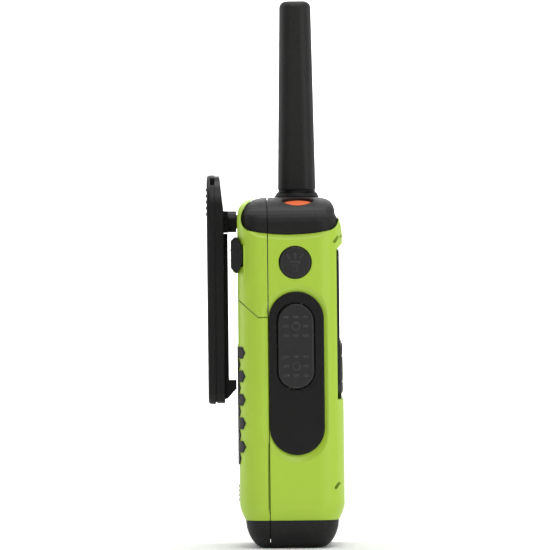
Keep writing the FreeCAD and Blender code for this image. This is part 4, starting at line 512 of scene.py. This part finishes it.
# %% Metals, paper and cells
finishes["spring_steel"] = moulded(
    "spring_steel", (0.56, 0.57, 0.58, 1), (0.48, 0.49, 0.50, 1), 0.28, cells=5200, pebble=0.2,
    depth=0.004, metal=1.0, radius=0.15,
)
finishes["speaker_metal"] = moulded(
    "speaker_steel", (0.30, 0.31, 0.32, 1), (0.24, 0.25, 0.26, 1), 0.38, cells=3200, pebble=0.3,
    depth=0.006, metal=1.0,
)
finishes["speaker_paper"] = moulded(
    "cone_paper", (0.065, 0.062, 0.058, 1), (0.045, 0.043, 0.040, 1), 0.85, cells=1500, pebble=0.1,
    depth=0.04, edge=0.1,
)
finishes["magnet"] = moulded(
    "magnet_nickel", (0.42, 0.42, 0.43, 1), (0.36, 0.36, 0.37, 1), 0.30, cells=2600, pebble=0.3,
    depth=0.006, metal=1.0,
)
finishes["shield"] = moulded(
    "nickel_shield", (0.52, 0.52, 0.50, 1), (0.44, 0.44, 0.42, 1), 0.34, cells=2200, pebble=0.2,
    depth=0.006, metal=1.0,
)
finishes["gold_contact"] = moulded(
    "gold_contact", (0.86, 0.60, 0.22, 1), (0.76, 0.52, 0.18, 1), 0.24, cells=4200, pebble=0.2,
    depth=0.003, metal=1.0, radius=0.12,
)
finishes["chip"] = moulded(
    "chip_epoxy", (0.022, 0.022, 0.024, 1), (0.016, 0.016, 0.018, 1), 0.62, cells=5200, pebble=0.2,
    depth=0.01,
)
finishes["mirror_cup"] = moulded(
    "mirror_cup", (0.86, 0.87, 0.88, 1), (0.80, 0.81, 0.82, 1), 0.12, cells=1500, pebble=0.8,
    depth=0.01, metal=1.0, dust=0.0,
)
print(len(finishes), "finishes")

# %% [markdown]
# ## Circuit boards
# A board is green lacquer over copper. Tracks show as slightly raised, slightly paler lines, and pads are
# tinned. A drawn picture of tracks would need an image, so a brick texture turned on its side, with
# scattered dots over it, gives straight runs that stop and start like real tracks.

# %% Lacquered board
board, tree, shader = new_material("lacquered_board")
link = tree.links.new
place = tree.nodes.new("ShaderNodeTexCoord").outputs["Object"]
turned = tree.nodes.new("ShaderNodeMapping")
turned.inputs["Rotation"].default_value = (math.radians(90), 0, 0)
link(place, turned.inputs["Vector"])
tracks = tree.nodes.new("ShaderNodeTexBrick")
tracks.inputs["Scale"].default_value = 260
tracks.inputs["Mortar Size"].default_value = 0.03
tracks.inputs["Mortar Smooth"].default_value = 0.2
link(turned.outputs["Vector"], tracks.inputs["Vector"])
pads = tree.nodes.new("ShaderNodeTexVoronoi")
pads.inputs["Scale"].default_value = 420
pads.inputs["Randomness"].default_value = 0.7
link(place, pads.inputs["Vector"])
tone = add_group(
    tree, tone_group, Colour=(0.012, 0.10, 0.045, 1), Second_colour=(0.008, 0.075, 0.035, 1), Dust=0.02
)
link(place, tone.inputs["Vector"])
pad_mask = maths(tree, "LESS_THAN", pads.outputs["Distance"], 0.16)
shown = mixed(tree, tracks.outputs["Fac"], tone.outputs["Colour"], (0.05, 0.22, 0.08, 1))
shown = mixed(tree, pad_mask, shown, (0.62, 0.60, 0.55, 1))
link(shown, shader.inputs["Base Color"])
link(pad_mask, shader.inputs["Metallic"])
link(maths(tree, "MULTIPLY_ADD", pad_mask, -0.1, 0.38), shader.inputs["Roughness"])
raised = tree.nodes.new("ShaderNodeBump")
raised.inputs["Distance"].default_value = 0.04 * MM
link(maths(tree, "MAXIMUM", tracks.outputs["Fac"], pad_mask), raised.inputs["Height"])
link(raised.outputs["Normal"], shader.inputs["Normal"])
finishes["circuit_board"] = board
print("board lacquer with", len(tree.nodes), "nodes")

# %% [markdown]
# ## Battery cells
# Each cell has a printed plastic sleeve that stops a little short of its two metal ends. The cells stand
# upright, so one comparison on height tells sleeve from metal, and a second one puts a plain silver ring
# round the sleeve. There is no print on it beyond that ring.

# %% Cell sleeve
BARE_TOP = 4.2 * MM
BARE_FOOT = 0.9 * MM
RING_DOWN = 9 * MM
RING_HALF = 2.2 * MM
low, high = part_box("battery_cells")
cell_can, tree, shader = new_material("cell_sleeve")
link = tree.links.new
place = tree.nodes.new("ShaderNodeTexCoord").outputs["Object"]
parts = tree.nodes.new("ShaderNodeSeparateXYZ")
link(place, parts.inputs[0])
level = parts.outputs["Z"]
above = maths(tree, "GREATER_THAN", level, high.z - BARE_TOP)
below = maths(tree, "LESS_THAN", level, low.z + BARE_FOOT)
bare = maths(tree, "MAXIMUM", above, below)
ring = maths(tree, "COMPARE", level, high.z - RING_DOWN, RING_HALF)
tone = add_group(
    tree, tone_group, Colour=(0.012, 0.05, 0.11, 1), Second_colour=(0.010, 0.04, 0.09, 1), Dust=0.02
)
wear_and_highlight_node = add_group(tree, wear_and_highlight_group, Radius=0.2 * MM)
grain = add_group(tree, grain_group, Cells_per_metre=3000, Pebble=0.2)
for node in (tone, wear_and_highlight_node, grain):
    link(place, node.inputs["Vector"])
shown = mixed(tree, ring, tone.outputs["Colour"], (0.55, 0.56, 0.57, 1))
shown = mixed(tree, bare, shown, (0.60, 0.60, 0.60, 1))
link(shown, shader.inputs["Base Color"])
link(bare, shader.inputs["Metallic"])
link(maths(tree, "MULTIPLY_ADD", grain.outputs["Height"], 0.1, 0.25), shader.inputs["Roughness"])
bump = tree.nodes.new("ShaderNodeBump")
bump.inputs["Distance"].default_value = 0.01 * MM
link(grain.outputs["Height"], bump.inputs["Height"])
link(wear_and_highlight_node.outputs["Normal"], bump.inputs["Normal"])
link(bump.outputs["Normal"], shader.inputs["Normal"])
finishes["cell_can"] = cell_can
print("cell sleeve with", len(tree.nodes), "nodes")

# %% [markdown]
# ## Window and display
# The window is clear hard plastic, so the shader's own transmission does the work and a faint film of
# handling marks only changes its roughness. Behind it the display is a pale grey-green reflector with a
# fine cell grid. The dark symbols on it come later, as pieces of their own.

# %% Clear window
window, tree, shader = new_material("clear_window")
link = tree.links.new
place = tree.nodes.new("ShaderNodeTexCoord").outputs["Object"]
tone = add_group(
    tree, tone_group, Colour=(0.96, 0.98, 0.97, 1), Second_colour=(0.93, 0.95, 0.94, 1), Dust=0.03
)
link(place, tone.inputs["Vector"])
link(tone.outputs["Colour"], shader.inputs["Base Color"])
link(maths(tree, "MULTIPLY_ADD", tone.outputs["Film"], 0.8, 0.04), shader.inputs["Roughness"])
shader.inputs["Transmission Weight"].default_value = 1.0
shader.inputs["IOR"].default_value = 1.49
finishes["clear_window"] = window
print("clear window with", len(tree.nodes), "nodes")

# %% Display reflector
screen, tree, shader = new_material("display_reflector")
link = tree.links.new
place = tree.nodes.new("ShaderNodeTexCoord").outputs["Object"]
turned = tree.nodes.new("ShaderNodeMapping")
turned.inputs["Rotation"].default_value = (math.radians(90), 0, 0)
link(place, turned.inputs["Vector"])
dots = tree.nodes.new("ShaderNodeTexBrick")
dots.offset = 0.0
dots.inputs["Scale"].default_value = 2400
dots.inputs["Brick Width"].default_value = 1.0
dots.inputs["Row Height"].default_value = 1.0
dots.inputs["Mortar Size"].default_value = 0.08
link(turned.outputs["Vector"], dots.inputs["Vector"])
tone = add_group(
    tree, tone_group, Colour=(0.42, 0.47, 0.40, 1), Second_colour=(0.38, 0.43, 0.36, 1), Dust=0.0
)
link(place, tone.inputs["Vector"])
grid = maths(tree, "MULTIPLY", dots.outputs["Fac"], 0.25)
shown = mixed(tree, grid, tone.outputs["Colour"], (0.2, 0.24, 0.2, 1))
link(shown, shader.inputs["Base Color"])
link(maths(tree, "MULTIPLY_ADD", dots.outputs["Fac"], 0.15, 0.30), shader.inputs["Roughness"])
finishes["lcd"] = screen
print(len(finishes), "finishes in all")

# %% [markdown]
# ## Dress the solids
# Every solid already knows which finish it should have, because the record names a slot for it. They
# could be dressed one by one, but a loop over the record can't forget any. The solids are neither moved
# nor reshaped: only the material in their slot changes.

# %% Assign the finishes
slot_of = {}
for row in frame["record"]["subparts"]:
    slot_of[row["node"]] = row["material_slot"]
for name, item in nodes.items():
    finish = finishes[slot_of[name]]
    if not item.material_slots:
        item.data.materials.append(finish)
    for held in item.material_slots:
        held.material = finish
print(len(nodes), "solids dressed in", len(set(slot_of.values())), "finishes")

# %% [markdown]
# ## Fine pieces
# Some things are too small or too thin for the solids: the symbols on the screen and the keys, the woven
# metal behind the speaker slots, the black seal strip that blocks the seam and darkens it as a painted
# shade, the ribs where a thumb presses the clip. Each starts from one bmesh shape and is finished by
# operators. All of them end up as meshes whose place is in their points, riding on the body that they are
# glued to or moulded with.

# %% Help for fine pieces
AT_ORIGIN = (0, 0, 0)
MERGE = 0.001 * MM
BACKWARD = Vector((0, 1, 0))
UPWARD = Vector((0, 0, 1))
LEFTWARD = Vector((-1, 0, 0))


def corner(node, *picks):
    """A point of a node's box. Each pick is 0 for its low side, 1 for its high side, or between."""
    low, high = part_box(node)
    return Vector(a + (b - a) * share for a, b, share in zip(low, high, picks))


def turned_about(axis, degrees):
    """A turn about a main axis."""
    return Matrix.Rotation(math.radians(degrees), 3, axis)


def finish_piece(name, form, slot, body, smooth=True):
    """Closes a bmesh into an object that wears a slot's finish and rides on a body."""
    bmesh.ops.remove_doubles(form, verts=form.verts[:], dist=MERGE)
    bmesh.ops.recalc_face_normals(form, faces=form.faces[:])
    for side in form.faces:
        side.smooth = smooth
    mesh = bpy.data.meshes.new(name)
    form.to_mesh(mesh)
    form.free()
    mesh.materials.append(finishes[slot])
    piece = bpy.data.objects.new(name, mesh)
    scene.collection.objects.link(piece)
    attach(piece, body)
    print("%s: %d faces" % (name, len(mesh.polygons)))
    return piece


def raise_faces(form, faces, shift):
    """Extrudes flat faces into a thin solid along a vector and keeps the starting faces."""
    for flat in faces:
        grown = bmesh.ops.extrude_face_region(form, geom=[flat], use_keep_orig=True)
        moved = [item for item in grown["geom"] if isinstance(item, bmesh.types.BMVert)]
        bmesh.ops.translate(form, verts=moved, vec=shift)


def bar(form, centre, length, width, turn=0.0):
    """A flat upright bar that faces the front, short by its width so that bars don't touch."""
    made = bmesh.ops.create_grid(form, x_segments=1, y_segments=1, size=1.0)["verts"]
    bmesh.ops.scale(form, verts=made, vec=((length - width) / 2, width / 2, 1))
    bmesh.ops.rotate(form, verts=made, cent=AT_ORIGIN, matrix=turned_about("X", 90))
    bmesh.ops.rotate(form, verts=made, cent=AT_ORIGIN, matrix=turned_about("Y", turn))
    bmesh.ops.translate(form, verts=made, vec=centre)
    return made[0].link_faces[0]


def tube_arc(form, centre, axis, start, angle, thickness, steps, sides=8):
    """A round bar bent round an axis. Start is the vector from the centre to the bar's first end."""
    across = axis.normalized()
    out = start.normalized()
    whole = angle == 360
    ring = bmesh.ops.create_circle(form, cap_ends=not whole, segments=sides, radius=thickness)["verts"]
    facing = Matrix((out, across, across.cross(out))).transposed()
    bmesh.ops.rotate(form, verts=ring, cent=AT_ORIGIN, matrix=facing)
    bmesh.ops.translate(form, verts=ring, vec=centre + start)
    edges = dict.fromkeys(edge for vert in ring for edge in vert.link_edges)
    faces = dict.fromkeys(side for vert in ring for side in vert.link_faces)
    bmesh.ops.spin(
        form,
        geom=[*ring, *edges, *faces],
        cent=centre,
        axis=across,
        angle=math.radians(angle),
        steps=steps,
        use_merge=whole,
    )


# %% [markdown]
# ### The dark seal strip behind the seam
# The two halves of the casing meet with a hair's gap, which on the real radio is blocked by a strip of
# soft foam. Without it light would shine straight through. The strip is black, so it is also a dark sheet
# that stands in for the shade inside the seam, a painted shade. The strip could be a swept tube, but a
# closed
# loop of a few points is enough: it is extruded along the radio's depth and then thickened.

# %% Seam strip
SEAM = 7.7 * MM
SEAM_INSET = 4.3 * MM
STRIP_LEAD = 1.1 * MM
STRIP_WIDTH = 1.3 * MM
STRIP_THICK = 0.5 * MM
right_side = [
    (0.40, 3.1), (0.80, 3.1), (0.915, 4.6), (1.0, 9.0), (1.0, 110.0), (1.008, 114.5),
    (0.948, 117.0), (0.81, 118.7), (0.567, 120.0), (0.24, 120.5),
]
outline = right_side + [(-share, level) for share, level in reversed(right_side)]
half = corner("front_housing", 1, 0, 0).x - SEAM_INSET
form = bmesh.new()
line = [form.verts.new((share * half, SEAM - STRIP_LEAD, level * MM)) for share, level in outline]
for first, second in zip(line, line[1:] + line[:1]):
    form.edges.new((first, second))
grown = bmesh.ops.extrude_edge_only(form, edges=form.edges[:])
rim = [v for v in grown["geom"] if isinstance(v, bmesh.types.BMVert)]
bmesh.ops.translate(form, verts=rim, vec=(0, STRIP_WIDTH, 0))
bmesh.ops.recalc_face_normals(form, faces=form.faces[:])
bmesh.ops.solidify(form, geom=form.faces[:], thickness=STRIP_THICK)
# Black rubber finish: a dark sheet in the gap, a painted shade for the seam as well as the foam seal.
finish_piece("seam_strip", form, "boot_rubber", "radio", smooth=False)

# %% [markdown]
# ### Symbols on the screen
# A radio of this kind shows a channel number in seven-bar digits, a row of signal bars and a battery
# outline. Every one of these is made of thin flat bars, so one helper draws them all on the reflector's
# face, and a short extrusion gives them the little thickness that casts their soft shadow. A picture on
# the screen would be quicker, but these bars stay sharp however near the camera comes.

# %% Help for the screen
DIGITS = {"1": "bc", "2": "abged", "4": "fgbc"}
BARS = {
    "a": (0, 1, 0),
    "g": (0, 0, 0),
    "d": (0, -1, 0),
    "f": (-1, 0.5, 90),
    "b": (1, 0.5, 90),
    "e": (-1, -0.5, 90),
    "c": (1, -0.5, 90),
}
SCREEN_GAP = 0.02 * MM
SCREEN_INK = 0.03 * MM
screen_front = corner("lcd_module", 0.5, 0, 0.5)
lens_low, lens_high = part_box("display_lens")
glass_mid = (lens_low + lens_high) / 2
form = bmesh.new()
level = screen_front.y - SCREEN_GAP


def on_screen(across, up):
    """A point on the screen, in millimetres from the window's middle."""
    return Vector((glass_mid.x + across * MM, level, glass_mid.z + up * MM))


def digit(figure, across, up, tall):
    """One seven-bar figure round a point, in millimetres."""
    for name in DIGITS[figure]:
        aside, rise, turn = BARS[name]
        spot = on_screen(across, up) + Vector((aside * tall * 0.27, 0, rise * tall * 0.5)) * MM
        bar(form, spot, tall * 0.46 * MM, tall * 0.10 * MM, turn)


# %% Channel, signal and battery
digit("1", -3.6, -0.6, 9.5)
digit("4", 3.6, -0.6, 9.5)
digit("2", 11.2, -2.9, 4.6)
for step in range(4):
    tall = 1.2 + 0.8 * step
    bar(form, on_screen(-13.6 + 1.5 * step, 4.2 + tall / 2), tall * MM, 0.8 * MM, 90)
for up in (4.3, 7.3):
    bar(form, on_screen(11.6, up), 5.6 * MM, 0.4 * MM)
for across in (8.9, 14.3):
    bar(form, on_screen(across, 5.8), 3.2 * MM, 0.4 * MM, 90)
for step in range(3):
    bar(form, on_screen(10.1 + 1.5 * step, 5.8), 2.0 * MM, 1.0 * MM, 90)
raise_faces(form, form.faces[:], Vector((0, -SCREEN_INK, 0)))
finish_piece("screen_symbols", form, "chip", "radio", smooth=False)

# %% [markdown]
# ### Symbols on the keys
# Rubber keys carry raised symbols in a paler ink, so they can be felt as well as seen. Arrows are
# triangles, the menu key has three bars, the power key a broken ring with a stroke, and the call key
# three arcs like sound spreading. They could be painted on, but a raised symbol also catches the light.
# Each symbol moves with its own key.

# %% Pale ink
ink, tree, shader = new_material("key_ink")
place = tree.nodes.new("ShaderNodeTexCoord").outputs["Object"]
tone = add_group(
    tree, tone_group, Colour=(0.60, 0.60, 0.58, 1), Second_colour=(0.50, 0.50, 0.48, 1), Dust=0.1
)
tree.links.new(place, tone.inputs["Vector"])
tree.links.new(tone.outputs["Colour"], shader.inputs["Base Color"])
tree.links.new(maths(tree, "MULTIPLY_ADD", tone.outputs["Film"], 1.0, 0.5), shader.inputs["Roughness"])
print("key ink with", len(tree.nodes), "nodes")

# %% Arrows on the up and down keys
SINK = 0.05 * MM
PROUD = 0.14 * MM
ARROW = 1.25 * MM


def inked(name, form, body):
    """Finishes a symbol in pale ink on the key's own rubber slot."""
    piece = finish_piece(name, form, "key_rubber", body, smooth=False)
    piece.data.materials[0] = ink
    return piece


for key, turn in (("up", 0), ("down", 180)):
    middle = corner(key + "_key", 0.5, 0, 0.5)
    form = bmesh.new()
    arrow = bmesh.ops.create_circle(form, cap_ends=True, segments=3, radius=ARROW)["verts"]
    bmesh.ops.rotate(form, verts=arrow, cent=AT_ORIGIN, matrix=turned_about("X", 90))
    bmesh.ops.rotate(form, verts=arrow, cent=AT_ORIGIN, matrix=turned_about("Y", turn))
    bmesh.ops.translate(form, verts=arrow, vec=(middle.x, middle.y + SINK, middle.z))
    raise_faces(form, form.faces[:], Vector((0, -PROUD, 0)))
    inked(key + "_symbol", form, key)

# %% Menu bars
form = bmesh.new()
middle = corner("menu_key", 0.5, 0, 0.5)
for rise in (-1.5, 0, 1.5):
    bar(form, middle + Vector((0, SINK, rise * MM)), 4.2 * MM, 0.55 * MM)
raise_faces(form, form.faces[:], Vector((0, -PROUD, 0)))
inked("menu_symbol", form, "menu")

# %% Power ring and stroke
LINE = 0.2 * MM
RING = 1.25 * MM
form = bmesh.new()
middle = corner("power_key", 0.5, 0, 0.5)
start = turned_about("Y", 40) @ Vector((0, 0, RING))
tube_arc(form, middle, BACKWARD, start, 280, LINE, 18, 6)
stroke = bar(form, middle + Vector((0, 0, 1.0 * MM)), 1.4 * MM, 0.36 * MM, 90)
raise_faces(form, [stroke], Vector((0, -0.18 * MM, 0)))
inked("power_symbol", form, "power")

# %% Call arcs
form = bmesh.new()
middle = corner("call_key", 0.5, 0, 0.5) + Vector((-1.6 * MM, 0, 0))
for reach in (1.1, 2.2, 3.3):
    start = turned_about("Y", 45) @ Vector((0, 0, reach * MM))
    tube_arc(form, middle, BACKWARD, start, 90, LINE, 8, 6)
inked("call_symbol", form, "call")

# %% [markdown]
# ### The speaker's woven screen
# Behind the slots lies a fine metal weave that keeps dust out and lets sound through. A grid of small
# squares trimmed to a disc becomes the weave when each edge is turned into a wire; a ring spun round the
# edge clamps it. This replaces the plain disc, which stays in the solid model.

# %% Speaker weave
low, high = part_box("speaker_mesh")
middle = (low + high) / 2
reach = (high.x - low.x) / 2
form = bmesh.new()
PITCH = 1.1 * MM
WIRE = 0.22 * MM
RIM_INSET = 0.5 * MM
WEAVE_INSET = 0.6 * MM
count = int(2 * reach / PITCH)
bmesh.ops.create_grid(form, x_segments=count, y_segments=count, size=reach)
outside = [side for side in form.faces if side.calc_center_median().length > reach - WEAVE_INSET]
bmesh.ops.delete(form, geom=outside, context="FACES")
bmesh.ops.wireframe(
    form,
    faces=form.faces[:],
    thickness=WIRE,
    use_replace=True,
    use_boundary=True,
    use_even_offset=True,
)
bmesh.ops.rotate(form, verts=form.verts[:], cent=AT_ORIGIN, matrix=turned_about("X", 90))
bmesh.ops.translate(form, verts=form.verts[:], vec=middle)
tube_arc(form, middle, BACKWARD, Vector((reach - RIM_INSET, 0, 0)), 360, (high.y - low.y) / 2, 64)
weave = finish_piece("speaker_weave", form, "speaker_metal", "radio", smooth=False)
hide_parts("speaker_mesh")

# %% [markdown]
# ### Ribs where the thumb presses the clip
# To open the clip a thumb presses its upper end, so that place is ribbed. A rib is a ring of points
# extruded into a long round bar, whose far end is drawn in so that no edge is sharp there. The ribs are
# moulded with the outer layer and swing with it.

# %% Clip ribs
RIB_THICK = 0.62 * MM
RIB_SINK = 0.25 * MM
clip_high = corner("clip_outer", 1, 1, 1)
form = bmesh.new()
for step in range(5):
    level = clip_high.z - (5.2 + 2.1 * step) * MM
    half = (6.2 + 0.45 * step) * MM
    ring = bmesh.ops.create_circle(form, cap_ends=False, segments=14, radius=RIB_THICK)["verts"]
    bmesh.ops.rotate(form, verts=ring, cent=AT_ORIGIN, matrix=turned_about("Y", 90))
    bmesh.ops.translate(form, verts=ring, vec=(-half, clip_high.y - RIB_SINK, level))
    edges = list(dict.fromkeys(edge for vert in ring for edge in vert.link_edges))
    for shift, shrink in ((2 * half, 1.0), (0.35 * MM, 0.75), (0.2 * MM, 0.3)):
        grown = bmesh.ops.extrude_edge_only(form, edges=edges)["geom"]
        ring = [item for item in grown if isinstance(item, bmesh.types.BMVert)]
        edges = [item for item in grown if isinstance(item, bmesh.types.BMEdge)]
        bmesh.ops.translate(form, verts=ring, vec=(shift, 0, 0))
        middle = sum((v.co for v in ring), Vector()) / len(ring)
        bmesh.ops.scale(form, verts=ring, vec=(1, shrink, shrink), space=Matrix.Translation(-middle))
open_edges = [edge for edge in form.edges if edge.is_boundary]
bmesh.ops.holes_fill(form, edges=open_edges, sides=0)
finish_piece("clip_ribs", form, "clip_plastic", "clip")

# %% [markdown]
# ### A bead, a lip and two lines
# Three small mouldings remain. A bead runs round the foot of the aerial's collar. A thin lip follows the
# lower end of the talk key. The port cover has two raised lines, where a fingernail finds a hold. The
# bent ones are a circle spun round an axis, and the straight ones are the same bars as the symbols.

# %% Collar bead
BEAD_LEVEL = 121.75 * MM
BEAD_INSET = 0.05 * MM
BEAD_THICK = 0.28 * MM
form = bmesh.new()
low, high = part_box("antenna_collar")
foot = Vector(((low.x + high.x) / 2, (low.y + high.y) / 2, BEAD_LEVEL))
reach = Vector(((high.x - low.x) / 2 - BEAD_INSET, 0, 0))
tube_arc(form, foot, UPWARD, reach, 360, BEAD_THICK, 72, 10)
finish_piece("collar_bead", form, "cap_plastic", "radio")

# %% Talk key lip
LIP_START = math.radians(12)
LIP_ANGLE = 156
LIP_GAP = 1.15 * MM
LIP_THICK = 0.22 * MM
LIP_SINK = 0.02 * MM
form = bmesh.new()
low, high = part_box("talk_key")
radius = (high.y - low.y) / 2
panel_face = corner("talk_panel", 0, 0.5, 0.5).x
middle = Vector((panel_face + LIP_SINK, (low.y + high.y) / 2, low.z + radius))
start = Vector((0, math.cos(LIP_START), -math.sin(LIP_START))) * (radius + LIP_GAP)
tube_arc(form, middle, LEFTWARD, start, LIP_ANGLE, LIP_THICK, 40)
finish_piece("talk_lip", form, "panel_plastic", "radio")

# %% Port cover lines
LINE_SINK = 0.03 * MM
LINE_PROUD = 0.2 * MM
LINE_WIDTH = 0.45 * MM
form = bmesh.new()
low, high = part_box("port_cover")
long = (high.x - low.x) * 0.55
for share in (0.36, 0.64):
    spot = corner("port_cover", 0.5, 1, share) - Vector((0, LINE_SINK, 0))
    bar(form, spot, long, LINE_WIDTH)
raise_faces(form, form.faces[:], Vector((0, LINE_PROUD, 0)))
finish_piece("cover_lines", form, "boot_rubber", "cover", smooth=False)

# %% [markdown]
# ## Measure the sizes and finish
# The box of the bare solids and the box of everything shown are both measured, and how much larger the
# finished model is gets printed.

# %% Measure and finish
shown_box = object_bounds()
grown = [(b - a) / MM for a, b in zip(cad_box[1] - cad_box[0], shown_box[1] - shown_box[0])]
print("the finished model is larger by %.2f, %.2f and %.2f mm" % tuple(grown))
